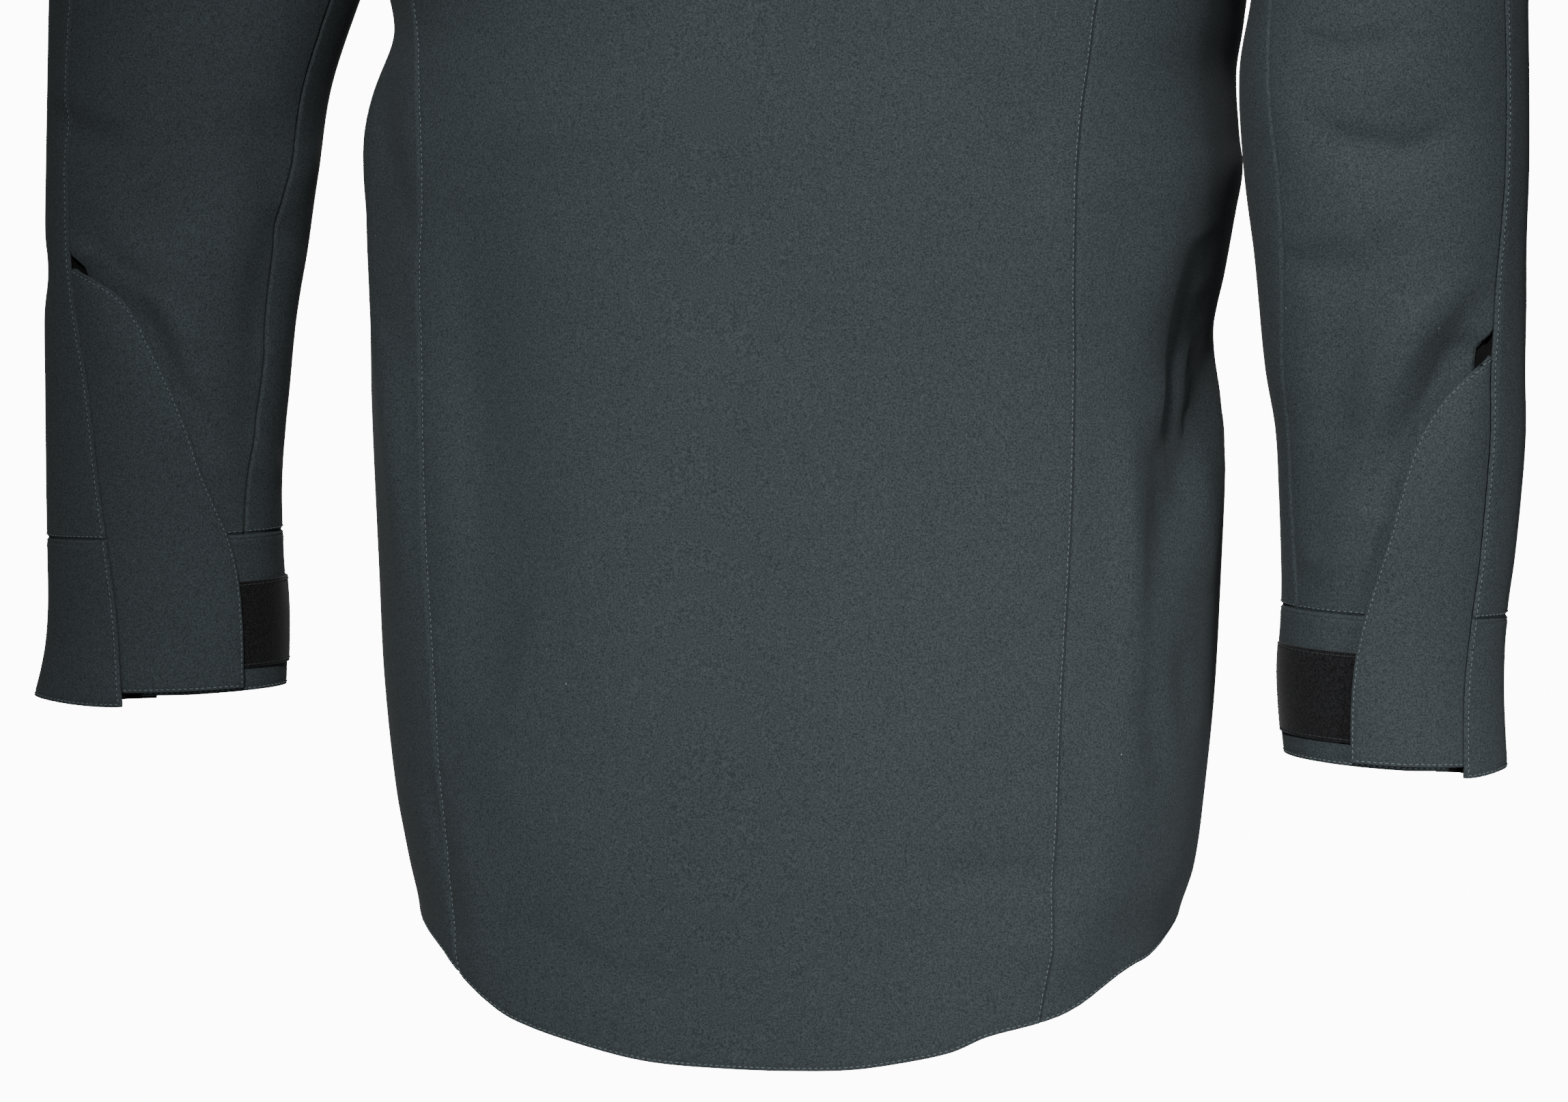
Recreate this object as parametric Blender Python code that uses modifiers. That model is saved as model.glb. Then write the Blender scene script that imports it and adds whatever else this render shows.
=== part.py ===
"""A stab-resistant jacket as it is worn: a long jacket with a dropped, rounded tail,
two back seams, two-piece sleeves and open cuff vents under tapered flaps.

Metres, +Z up. The jacket faces -Y, so +X is the wearer's left. The origin lies midway between
the two neck points of the shoulder seams, where the wearer's neck and shoulders carry it.
"""
import math

import bmesh
import bpy
from mathutils import Matrix, Vector

# Driving sizes
CLOTH = 0.0020            # soft shell with its protective layer
SEAM = 0.0003             # gap between two sewn edges
TAPE = 0.0008             # woven zip tape
NECK_HALF = 0.082         # from the centre to a neck point
SHOULDER_TIP = (0.243, -0.066)    # x and z of the shoulder seam's outer end
BACK_SCYE = -0.215        # height where the back seam runs into the armhole
FRONT_SCYE = -0.205
UNDERARM = -0.247
NAPE_DROP = 0.014
FRONT_NECK_DROP = 0.085
COLLAR_SIDE = 0.052       # height of the stand collar at the sides, and how much more
COLLAR_MORE = 0.012       # it has at the centre back and front
COLLAR_LEAN = 0.005
PLACKET_HALF = 0.007      # half the opening between the front edges, which the zip fills
CHAIN_HALF = 0.0026
CUFF_HEIGHT = {"left": 0.0910, "right": 0.0820}   # sewn-on cuff band, seam to hem
CUFF_HEM = {"left": -0.6650, "right": -0.6809}
CUFF_TILT = {"left": 0.0045, "right": 0.0030}     # the hem is lower outside by twice this
VENT_HEIGHT = {"left": 0.2527, "right": 0.2350}   # the vent's top above the cuff hem
VENT_DEPTH = 0.0035       # how far the back sleeve is pushed in under the flap
VENT_SETBACK = 8.0        # degrees between the vent's two edges
VENT_EASE = 28.0          # degrees over which the back sleeve comes out again
SLEEVE_TOP = -0.262       # height of the sleeve's first full ring

# height, half-width on the wearer's left and right, depth to the back and front, squareness
TORSO_RINGS = (
    (0.0000, 0.0820, 0.0820, 0.056, 0.050, 2.0),
    (-0.0165, 0.1220, 0.1220, 0.068, 0.055, 2.0),
    (-0.0330, 0.1630, 0.1630, 0.078, 0.062, 2.1),
    (-0.0495, 0.2030, 0.2030, 0.088, 0.069, 2.2),
    (-0.0660, 0.2430, 0.2430, 0.096, 0.077, 2.2),
    (-0.0850, 0.2710, 0.2710, 0.104, 0.087, 2.2),
    (-0.1200, 0.2880, 0.2880, 0.116, 0.106, 2.3),
    (-0.1600, 0.2800, 0.2830, 0.126, 0.123, 2.4),
    (-0.2000, 0.2600, 0.2670, 0.133, 0.135, 2.4),
    (-0.2350, 0.2400, 0.2530, 0.136, 0.142, 2.4),
    (-0.2710, 0.2295, 0.2455, 0.137, 0.146, 2.4),
    (-0.2900, 0.2285, 0.2430, 0.137, 0.148, 2.4),
    (-0.3130, 0.2358, 0.2395, 0.137, 0.149, 2.4),
    (-0.3450, 0.2426, 0.2410, 0.137, 0.150, 2.4),
    (-0.3655, 0.2434, 0.2430, 0.136, 0.150, 2.4),
    (-0.3890, 0.2423, 0.2389, 0.135, 0.150, 2.4),
    (-0.4230, 0.2420, 0.2320, 0.134, 0.149, 2.4),
    (-0.4570, 0.2422, 0.2250, 0.133, 0.148, 2.4),
    (-0.5000, 0.2416, 0.2252, 0.134, 0.148, 2.4),
    (-0.5870, 0.2376, 0.2303, 0.137, 0.147, 2.4),
    (-0.6470, 0.2346, 0.2299, 0.139, 0.145, 2.4),
    (-0.7100, 0.2276, 0.2243, 0.140, 0.142, 2.4),
    (-0.7470, 0.2203, 0.2190, 0.140, 0.140, 2.4),
    (-0.7780, 0.2136, 0.2098, 0.139, 0.138, 2.4),
    (-0.8600, 0.2085, 0.2060, 0.137, 0.136, 2.4),
)
# height, how far from the centre lie the left back seam, the side front seams and the right
# back seam: the jacket is worn a little turned, so the two back seams differ
BODY_SEAMS = (
    (-0.205, 0.2075, 0.1990, 0.2075),
    (-0.215, 0.2060, 0.1980, 0.2060),
    (-0.272, 0.1963, 0.1940, 0.1897),
    (-0.300, 0.1915, 0.1915, 0.1858),
    (-0.330, 0.1885, 0.1900, 0.1820),
    (-0.366, 0.1869, 0.1892, 0.1798),
    (-0.421, 0.1906, 0.1889, 0.1775),
    (-0.458, 0.1910, 0.1885, 0.1769),
    (-0.550, 0.1879, 0.1880, 0.1763),
    (-0.650, 0.1805, 0.1860, 0.1725),
    (-0.750, 0.1742, 0.1780, 0.1682),
    (-0.800, 0.1670, 0.1700, 0.1626),
    (-0.860, 0.1590, 0.1650, 0.1540),
)
# height, half the width across the back and across the chest at the armhole
ARMHOLE = (
    (-0.215, 0.2060, 0.1998),
    (-0.205, 0.2053, 0.1990),
    (-0.180, 0.2040, 0.1960),
    (-0.150, 0.2040, 0.1940),
    (-0.120, 0.2075, 0.1990),
    (-0.095, 0.2160, 0.2100),
    (-0.080, 0.2265, 0.2230),
    (-0.070, 0.2380, 0.2370),
    (-0.066, 0.2430, 0.2430),
)
# degrees round from the centre back towards the wearer's left, height of the hem
HEM_LINE = (
    (-180.0, -0.757), (-120.0, -0.764), (-96.0, -0.775), (-79.3, -0.788), (-71.1, -0.7917),
    (-63.8, -0.7985), (-57.0, -0.8074), (-52.5, -0.8125), (-47.7, -0.8161), (-36.5, -0.8230),
    (-30.3, -0.8307), (-19.8, -0.8378), (-13.7, -0.8408), (-6.6, -0.8421), (0.0, -0.8425),
    (9.7, -0.8410), (19.7, -0.8350), (34.5, -0.8240), (41.3, -0.8144), (50.2, -0.8011),
    (57.4, -0.7909), (73.4, -0.7785), (90.0, -0.768), (120.0, -0.760), (180.0, -0.757),
)
# degrees round, height, reach round, reach up and down, lean (degrees per metre), depth
BODY_FOLDS = (
    (-84.0, -0.520, 7.0, 0.070, -250.0, -0.0065),
    (-66.0, -0.420, 9.0, 0.070, -60.0, 0.0035),
    (-97.0, -0.520, 10.0, 0.090, -60.0, 0.0050),
    (-58.0, -0.700, 8.0, 0.090, -20.0, 0.0030),
    (-80.0, -0.300, 12.0, 0.030, 0.0, -0.0030),
    (66.0, -0.420, 6.0, 0.120, 60.0, 0.0040),
    (56.0, -0.440, 6.0, 0.130, 50.0, -0.0030),
    (78.0, -0.300, 14.0, 0.022, 0.0, -0.0040),
    (30.0, -0.500, 10.0, 0.140, 30.0, -0.0030),
    (44.0, -0.770, 9.0, 0.060, 60.0, 0.0030),
    (10.0, -0.560, 14.0, 0.180, 10.0, 0.0020),
    (-22.0, -0.640, 12.0, 0.120, -20.0, -0.0020),
    (130.0, -0.420, 12.0, 0.120, 40.0, 0.0040),
    (-132.0, -0.440, 12.0, 0.130, -40.0, 0.0040),
    (112.0, -0.600, 10.0, 0.120, 30.0, -0.0040),
    (-114.0, -0.620, 10.0, 0.110, -30.0, -0.0040),
)

# One arm each: height, centre x and y, half-width, half-depth,
# then degrees round from the outer side towards the back of the outer and inner seams
SLEEVE_SECTIONS = {
    "left": (
        (-0.2620, 0.3395, 0.0180, 0.0915, 0.0680, 49.0, 160.0),
        (-0.3174, 0.3497, 0.0200, 0.0821, 0.0650, 49.0, 160.0),
        (-0.3565, 0.3541, 0.0200, 0.0791, 0.0620, 49.5, 159.5),
        (-0.4095, 0.3588, 0.0200, 0.0761, 0.0600, 52.7, 159.0),
        (-0.4488, 0.3632, 0.0180, 0.0734, 0.0575, 59.0, 159.0),
        (-0.4880, 0.3665, 0.0150, 0.0716, 0.0550, 66.2, 157.5),
        (-0.5427, 0.3715, 0.0100, 0.0690, 0.0520, 73.0, 151.5),
        (-0.5821, 0.3734, 0.0050, 0.0692, 0.0500, 77.2, 148.0),
        (-0.6216, 0.3745, 0.0000, 0.0708, 0.0490, 80.5, 147.5),
        (-0.6650, 0.3798, -0.0050, 0.0736, 0.0480, 85.3, 147.5),
    ),
    "right": (
        (-0.2620, -0.3293, 0.0180, 0.0732, 0.0640, 26.0, 141.0),
        (-0.2741, -0.3288, 0.0200, 0.0735, 0.0640, 25.5, 139.5),
        (-0.3120, -0.3262, 0.0200, 0.0769, 0.0640, 24.5, 134.0),
        (-0.3633, -0.3278, 0.0200, 0.0759, 0.0625, 25.5, 130.5),
        (-0.4115, -0.3304, 0.0200, 0.0722, 0.0600, 29.0, 134.0),
        (-0.4697, -0.3332, 0.0180, 0.0694, 0.0570, 34.0, 141.0),
        (-0.5030, -0.3359, 0.0150, 0.0669, 0.0550, 36.2, 145.0),
        (-0.5365, -0.3354, 0.0120, 0.0649, 0.0530, 37.2, 145.5),
        (-0.5696, -0.3342, 0.0100, 0.0627, 0.0510, 37.6, 143.5),
        (-0.5982, -0.3323, 0.0080, 0.0607, 0.0500, 38.4, 140.5),
        (-0.6369, -0.3303, 0.0050, 0.0610, 0.0490, 41.4, 140.0),
        (-0.6840, -0.3325, 0.0000, 0.0604, 0.0480, 44.5, 142.0),
    ),
}
# height above the cuff hem, degrees round from the seam to the flap's free edge,
# how far the free edge stands off the sleeve
FLAPS = {
    "left": (
        (0.003, 58.6, 0.0042), (0.023, 60.2, 0.0042), (0.046, 61.8, 0.0042),
        (0.070, 62.8, 0.0042), (0.091, 60.9, 0.0042), (0.110, 56.4, 0.0044),
        (0.131, 51.4, 0.0046), (0.151, 47.7, 0.0047), (0.170, 43.8, 0.0048),
        (0.190, 39.0, 0.0048), (0.208, 34.5, 0.0046), (0.222, 30.0, 0.0040),
        (0.231, 24.0, 0.0030), (0.237, 16.0, 0.0018), (0.243, 5.0, 0.0006),
    ),
    "right": (
        (0.003, 59.8, 0.0044), (0.023, 59.6, 0.0046), (0.046, 59.2, 0.0048),
        (0.066, 59.0, 0.0050), (0.082, 57.6, 0.0052), (0.108, 52.8, 0.0058),
        (0.122, 49.8, 0.0060), (0.140, 46.3, 0.0062), (0.160, 41.8, 0.0063),
        (0.174, 37.6, 0.0061), (0.185, 32.0, 0.0054), (0.197, 24.2, 0.0044),
        (0.206, 17.2, 0.0033), (0.214, 9.5, 0.0020), (0.221, 2.5, 0.0008),
    ),
}
# from the flap's free edge in degrees, then bottom and top above the cuff hem
PATCHES = {"left": (-11.0, 70.0, 0.0140, 0.0640), "right": (-11.0, 62.0, 0.0130, 0.0620)}
# side, degrees round, height, reach round, reach up and down, lean (degrees per metre), depth
SLEEVE_FOLDS = (
    ("left", 95.0, -0.395, 15.0, 0.022, 0.0, -0.0035),
    ("left", 118.0, -0.480, 14.0, 0.060, -160.0, 0.0045),
    ("left", 84.0, -0.430, 12.0, 0.030, -600.0, -0.0040),
    ("left", 10.0, -0.425, 16.0, 0.014, 0.0, -0.0040),
    ("left", 150.0, -0.460, 12.0, 0.060, -40.0, -0.0035),
    ("left", 172.0, -0.365, 16.0, 0.016, 0.0, 0.0030),
    ("left", 300.0, -0.380, 24.0, 0.025, 0.0, -0.0040),
    ("left", 270.0, -0.330, 24.0, 0.025, 0.0, 0.0040),
    ("right", 72.0, -0.345, 26.0, 0.022, 60.0, -0.0035),
    ("right", 108.0, -0.470, 14.0, 0.050, -200.0, -0.0045),
    ("right", 86.0, -0.500, 12.0, 0.055, -300.0, 0.0050),
    ("right", 60.0, -0.470, 12.0, 0.040, -500.0, -0.0040),
    ("right", 120.0, -0.340, 14.0, 0.020, 0.0, 0.0025),
    ("right", 300.0, -0.390, 24.0, 0.025, 0.0, -0.0040),
    ("right", 270.0, -0.340, 24.0, 0.025, 0.0, 0.0040),
)

PATCH_THICK = 0.0010
PATCH_GAP = 0.0003
GUSSET_THICK = 0.0008
GUSSET_GAP = 0.0008

# Zip slider and pull tab
SLIDER_TOP = -0.034
SLIDER_LENGTH = 0.0125
SLIDER_HALF = 0.0048
SLIDER_PLATE = 0.0016
SLIDER_POST = 0.0040
CHAIN_DEPTH = 0.0012      # the chain's outer face below the front edge's outer face
CHAIN_THICK = 0.0020
ZIP_COLUMNS = (0.0029, 0.0100, 0.0180)
PIVOT_STAND = 0.0013      # the pull's pivot bar, from the slider's outer face
PIVOT_RADIUS = 0.0008
BAIL_HALF = 0.0010
BAIL_WINDOW = (0.0026, 0.0026)
BAIL_OUTER = (0.0064, 0.0040)
PULL_LENGTH = 0.0300
PULL_WINDOW = 0.0050
PULL_WINDOW_HALF = 0.0016
PULL_HALF = 0.0040

SLATE = (0.030, 0.041, 0.045, 1.0)
BLACK = (0.010, 0.010, 0.011, 1.0)
METAL = (0.110, 0.112, 0.115, 1.0)


def material(name, colour, roughness, metallic=0.0):
    finish = bpy.data.materials.new(name)
    finish.use_nodes = True
    shader = finish.node_tree.nodes["Principled BSDF"]
    shader.inputs["Base Color"].default_value = colour
    shader.inputs["Roughness"].default_value = roughness
    shader.inputs["Metallic"].default_value = metallic
    finish.diffuse_color = colour
    return finish


def table_at(table, key, column, first=0):
    """A smooth curve through one column of a table whose first column rises or falls."""
    keys = [row[first] for row in table]
    if keys[0] > keys[-1]:
        table = table[::-1]
        keys = keys[::-1]
    key = min(max(key, keys[0]), keys[-1])
    i = 0
    while i < len(keys) - 2 and key > keys[i + 1]:
        i += 1

    def slope(k):
        low, high = max(k - 1, 0), min(k + 1, len(keys) - 1)
        return (table[high][column] - table[low][column]) / (keys[high] - keys[low])

    span = keys[i + 1] - keys[i]
    t = (key - keys[i]) / span
    a, b = table[i][column], table[i + 1][column]
    return ((2 * t**3 - 3 * t**2 + 1) * a + (t**3 - 2 * t**2 + t) * span * slope(i)
            + (3 * t**2 - 2 * t**3) * b + (t**3 - t**2) * span * slope(i + 1))


def bump(offset, reach):
    return math.exp(-(offset / reach) ** 2)


def power(value, exponent):
    return math.copysign(abs(value) ** exponent, value)


def ring_width(z, side):
    return table_at(TORSO_RINGS, z, 1 if side > 0 else 2)


def body_outer(turn, z):
    """A point of the body's outer face: turn is degrees from the centre back to the left."""
    angle = math.radians(turn)
    sine, cosine = math.sin(angle), math.cos(angle)
    square = table_at(TORSO_RINGS, z, 5)
    wide = ring_width(z, sine)
    deep = table_at(TORSO_RINGS, z, 3 if cosine > 0 else 4)
    x = wide * power(sine, 2 / square)
    y = deep * power(cosine, 2 / square)
    for centre, height, reach, tall, lean, depth in BODY_FOLDS:
        away = (turn - centre - lean * (z - height) + 180.0) % 360.0 - 180.0
        stand = depth * bump(away, reach) * bump(z - height, tall)
        x += stand * sine
        y += stand * cosine
    return Vector((x, y, z))


def normal_of(surface, u, v, du, dv):
    across = surface(u + du, v) - surface(u - du, v)
    up = surface(u, v + dv) - surface(u, v - dv)
    return across.cross(up).normalized()


def body_normal(turn, z):
    clear = min(z, -0.0006)
    found = normal_of(body_outer, turn, clear, 0.5, 0.0005)
    return -found if found.dot(Vector((math.sin(math.radians(turn)),
                                       math.cos(math.radians(turn)), 0.3))) < 0 else found


def turn_of(x, z, front=False):
    """The turn at which the body is x from the centre."""
    share = min(abs(x) / ring_width(z, x), 1.0)
    turn = math.degrees(math.asin(share ** (table_at(TORSO_RINGS, z, 5) / 2)))
    turn = 180.0 - turn if front else turn
    return math.copysign(turn, x)


def hem_height(turn):
    return table_at(HEM_LINE, turn, 1)


def edge_turn(z, side, front):
    """Where a back or front panel ends at a height: its seam, the armhole, then the shoulder."""
    scye = FRONT_SCYE if front else BACK_SCYE
    if z >= SHOULDER_TIP[1]:
        return side * 90.0
    if z >= scye:
        x = min(table_at(ARMHOLE, z, 2 if front else 1), ring_width(z, side))
    else:
        x = table_at(BODY_SEAMS, z, 2 if front else 1 if side > 0 else 3)
    return turn_of(side * x, z, front)


def grid_mesh(name, outer, inner, finish):
    """A closed wall from rows of outer points and the matching rows of inner points."""
    mesh = bpy.data.meshes.new(name)
    shape = bmesh.new()
    rows, columns = len(outer), len(outer[0])
    skins = [[[shape.verts.new(p) for p in row] for row in skin] for skin in (outer, inner)]
    for skin, flip in zip(skins, (False, True)):
        for i in range(rows - 1):
            for j in range(columns - 1):
                corners = [skin[i][j], skin[i][j + 1], skin[i + 1][j + 1], skin[i + 1][j]]
                shape.faces.new(corners[::-1] if flip else corners)
    rim = ([(0, j) for j in range(columns)] + [(i, columns - 1) for i in range(1, rows)]
           + [(rows - 1, j) for j in range(columns - 2, -1, -1)]
           + [(i, 0) for i in range(rows - 2, 0, -1)])
    for start, end in zip(rim, rim[1:] + rim[:1]):
        (a, b), (c, d) = min(start, end), max(start, end)
        first = [skins[0][a][b], skins[0][c][d], skins[1][c][d]]
        second = [skins[0][a][b], skins[1][c][d], skins[1][a][b]]
        for corners in (first, second):
            shape.faces.new(corners if start < end else corners[::-1])
    bmesh.ops.recalc_face_normals(shape, faces=shape.faces)
    shape.to_mesh(mesh)
    shape.free()
    mesh.shade_smooth()
    mesh.set_sharp_from_angle(angle=math.radians(50))
    piece = bpy.data.objects.new(name, mesh)
    piece.data.materials.append(finish)
    GARMENT.objects.link(piece)
    return piece


def spread(low, high, count):
    return [low + (high - low) * i / (count - 1) for i in range(count)]


def mix(a, b, share):
    return a + (b - a) * share


def ease(share):
    share = min(max(share, 0.0), 1.0)
    return share * share * (3 - 2 * share)


def drawn_in(points, normals, edge):
    """The points with one edge drawn in by half the seam gap, square to that edge."""
    rows, columns = len(points), len(points[0])
    row = {"b": 0, "t": rows - 1}.get(edge)
    column = {"f": 0, "l": columns - 1}.get(edge)
    moved = [list(line) for line in points]
    for k in range(columns if column is None else rows):
        i, j = (row, k) if column is None else (k, column)
        if column is None:
            ahead, behind = points[i][min(k + 1, columns - 1)], points[i][max(k - 1, 0)]
            inside = points[1 if i == 0 else rows - 2][j]
        else:
            ahead, behind = points[min(k + 1, rows - 1)][j], points[max(k - 1, 0)][j]
            inside = points[i][1 if j == 0 else columns - 2]
        way = normals[i][j].cross(ahead - behind).normalized()
        if way.dot(inside - points[i][j]) < 0:
            way = -way
        moved[i][j] = points[i][j] + way * SEAM / 2
    return moved


def wall(name, outer, normals, finish, sewn="", thick=CLOTH):
    """A cloth wall; the sewn edges (bottom, top, first, last) are drawn in by half the gap."""
    moved = outer
    for edge in sewn:
        moved = drawn_in(moved, normals, edge)
    inner = [[p - n * thick for p, n in zip(*lines)] for lines in zip(moved, normals)]
    return grid_mesh(name, moved, inner, finish)


# Neck line of the back and of the fronts, as a drop for each turn
def neck_drop(turn):
    front = abs(turn) > 90.0
    target = abs(turn)
    low, high = 0.0, 90.0
    for _ in range(40):
        a = math.radians((low + high) / 2)
        x = NECK_HALF * math.cos(a)
        z = -FRONT_NECK_DROP * math.sin(a) ** 1.3 if front else -NAPE_DROP * math.sin(a)
        found = turn_of(x, z, front)
        ahead = found < target if front else found > target
        if ahead:
            low = math.degrees(a)
        else:
            high = math.degrees(a)
    return z


LOWER_ROWS = 22
ARMHOLE_ROWS = (-0.190, -0.165, -0.142, -0.120, -0.102, -0.088, -0.077, -0.070, -0.066)
SHOULDER_ROWS = (-0.0495, -0.0330, -0.0165, 0.0)
SIDE_COLUMNS = 8


def edge_rows(side, front):
    """The seam edge of a back or front panel from the hem to the neck, as turns and heights."""
    turn = side * (120.0 if front else 60.0)
    for _ in range(12):
        turn = edge_turn(hem_height(turn), side, front)
    low = hem_height(turn)
    scye = FRONT_SCYE if front else BACK_SCYE
    heights = [mix(low, scye, k / LOWER_ROWS) for k in range(LOWER_ROWS + 1)]
    heights += list(ARMHOLE_ROWS) + list(SHOULDER_ROWS)
    return [(edge_turn(z, side, front), z) for z in heights]


def neck_share(f):
    return max(0.0, (f - 0.6) / 0.4) ** 1.5


def place(turn, f, base):
    return (turn, hem_height(turn) * (1 - f) + (neck_drop(turn) - base) * neck_share(f))


def back_places(columns):
    places = []
    for (turn_a, z_a), (turn_b, z_b) in zip(edge_rows(-1, False), edge_rows(1, False)):
        f_a, f_b = 1 - z_a / hem_height(turn_a), 1 - z_b / hem_height(turn_b)
        drop_a, drop_b = neck_drop(turn_a), neck_drop(turn_b)
        places.append([place(mix(turn_a, turn_b, j / columns), mix(f_a, f_b, j / columns),
                             mix(drop_a, drop_b, j / columns)) for j in range(columns + 1)])
    return places


def front_places(side, columns):
    places = []
    for turn_a, z_a in edge_rows(side, True):
        f = 1 - z_a / hem_height(turn_a)
        drop_a = neck_drop(turn_a)
        turn_b = side * 179.0
        for _ in range(4):
            turn_b = turn_of(side * PLACKET_HALF, place(turn_b, f, 0.0)[1], True)
        places.append([place(mix(turn_a, turn_b, j / columns), f, drop_a * (1 - j / columns))
                       for j in range(columns + 1)])
    return places


def side_places(side):
    places = []
    back, front = edge_rows(side, False), edge_rows(side, True)
    for k in range(LOWER_ROWS + 1):
        (turn_a, z_a), (turn_b, z_b) = back[k], front[k]
        hem_a, hem_b = hem_height(turn_a), hem_height(turn_b)
        g = k / LOWER_ROWS
        row = []
        for j in range(SIDE_COLUMNS + 1):
            u = j / SIDE_COLUMNS
            turn = mix(turn_a, turn_b, u)
            z = mix(z_a, z_b, u) + (hem_height(turn) - mix(hem_a, hem_b, u)) * (1 - g) ** 2
            dip = mix(BACK_SCYE, FRONT_SCYE, u) - UNDERARM
            z -= dip * abs(math.sin(math.pi * u)) ** 0.75 * g * g
            row.append((turn, z))
        places.append(row)
    return places


def body_grid(places):
    points = [[body_outer(turn, z) for turn, z in row] for row in places]
    normals = [[body_normal(turn, z) for turn, z in row] for row in places]
    return points, normals


# Sleeves: a turn of 0 is the outer side, 90 the back, 180 the side next to the body
SEAM_INDEX = {"left": (4, 12), "right": (2, 12)}
UNDERARM_INDEX = 13
LOOP = 26
HEAD_ROWS = 6


def side_of(arm):
    return 1.0 if arm == "left" else -1.0


def section(arm, height, column):
    return table_at(SLEEVE_SECTIONS[arm], CUFF_HEM[arm] + height, column)


def sleeve_outer(arm, turn, height):
    side = side_of(arm)
    angle = math.radians(turn)
    sine, cosine = math.sin(angle), math.cos(angle)
    z = CUFF_HEM[arm] + height
    x = section(arm, height, 1) + side * section(arm, height, 3) * cosine
    y = section(arm, height, 2) + section(arm, height, 4) * sine
    for owner, centre, level, reach, tall, lean, depth in SLEEVE_FOLDS:
        if owner == arm:
            away = (turn - centre - lean * (z - level) + 180.0) % 360.0 - 180.0
            stand = depth * bump(away, reach) * bump(z - level, tall)
            x += side * stand * cosine
            y += stand * sine
    tilt = CUFF_TILT[arm] * cosine * max(0.0, 1 - height / 0.25)
    return Vector((x, y, z - tilt))


def sleeve_normal(arm, turn, height):
    def surface(u, v):
        return sleeve_outer(arm, u, v)
    found = normal_of(surface, turn, height, 0.5, 0.0005)
    angle = math.radians(turn)
    away = Vector((side_of(arm) * math.cos(angle), math.sin(angle), 0.0))
    return -found if found.dot(away) < 0 else found


def column_turn(arm, height, column, setback=0.0):
    """The turn of a sleeve column, which runs evenly between the sleeve's two seams."""
    outer_seam, inner_seam = section(arm, height, 5), section(arm, height, 6)
    start, end = SEAM_INDEX[arm]
    if column <= end:
        return mix(outer_seam + setback, inner_seam, (column - start) / (end - start))
    return mix(inner_seam, outer_seam + 360.0, (column - end) / (start + LOOP - end))


def vent_share(arm, height, early=0.0):
    return ease((VENT_HEIGHT[arm] + early - height) / 0.012)


def vent_push(arm, height, past):
    """How far in the back sleeve lies, at a turn past the outer seam."""
    return VENT_DEPTH * vent_share(arm, height) * (1 - ease((past - VENT_SETBACK) / VENT_EASE))


def leaving_way(column, side):
    """The way the cloth leaves the armhole at a loop vertex."""
    share = column / UNDERARM_INDEX if column <= UNDERARM_INDEX else (
        1 + (column - UNDERARM_INDEX) / (LOOP - UNDERARM_INDEX))
    level = math.cos(math.pi * share)
    flat = Vector((0.95, 0.0, -0.30))
    if level > 0:
        way = flat.lerp(Vector((0.90, 0.0, -0.43)), level * level)
    else:
        way = flat.lerp(Vector((0.62, 0.0, 0.78)), abs(level) ** 3)
    return Vector((side * way.x, way.y, way.z)).normalized()


def head_grid(arm, loop):
    """Rows of cloth from the armhole loop down to the sleeve's first full ring."""
    side = side_of(arm)
    top = SLEEVE_TOP - CUFF_HEM[arm]
    start, end = SEAM_INDEX[arm]
    rows = [[] for _ in range(HEAD_ROWS)]
    for column in range(LOOP):
        number = column if column >= start else column + LOOP
        turn = column_turn(arm, top, number)
        low = sleeve_outer(arm, turn, top)
        down = (sleeve_outer(arm, turn, top - 0.004) - low).normalized()
        high = loop[column]
        reach = (low - high).length
        leave = leaving_way(column, side) * reach * 1.1
        arrive = down * reach
        for k in range(HEAD_ROWS):
            t = k / HEAD_ROWS
            rows[k].append(high * (2 * t**3 - 3 * t**2 + 1) + leave * (t**3 - 2 * t**2 + t)
                           + low * (3 * t**2 - 2 * t**3) + arrive * (t**3 - t**2))
    return rows


def sleeve_heights(arm):
    """Heights above the cuff hem of the rows from the first full ring to the cuff seam."""
    top = SLEEVE_TOP - CUFF_HEM[arm]
    vent = VENT_HEIGHT[arm]
    above = [mix(top, vent, k / 7) for k in range(8)]
    below = [row[0] for row in FLAPS[arm][::-1]]
    if arm == "right":
        below.insert(0, 0.225)
    return above + [h for h in below if h > CUFF_HEIGHT[arm] - 0.001]


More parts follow.
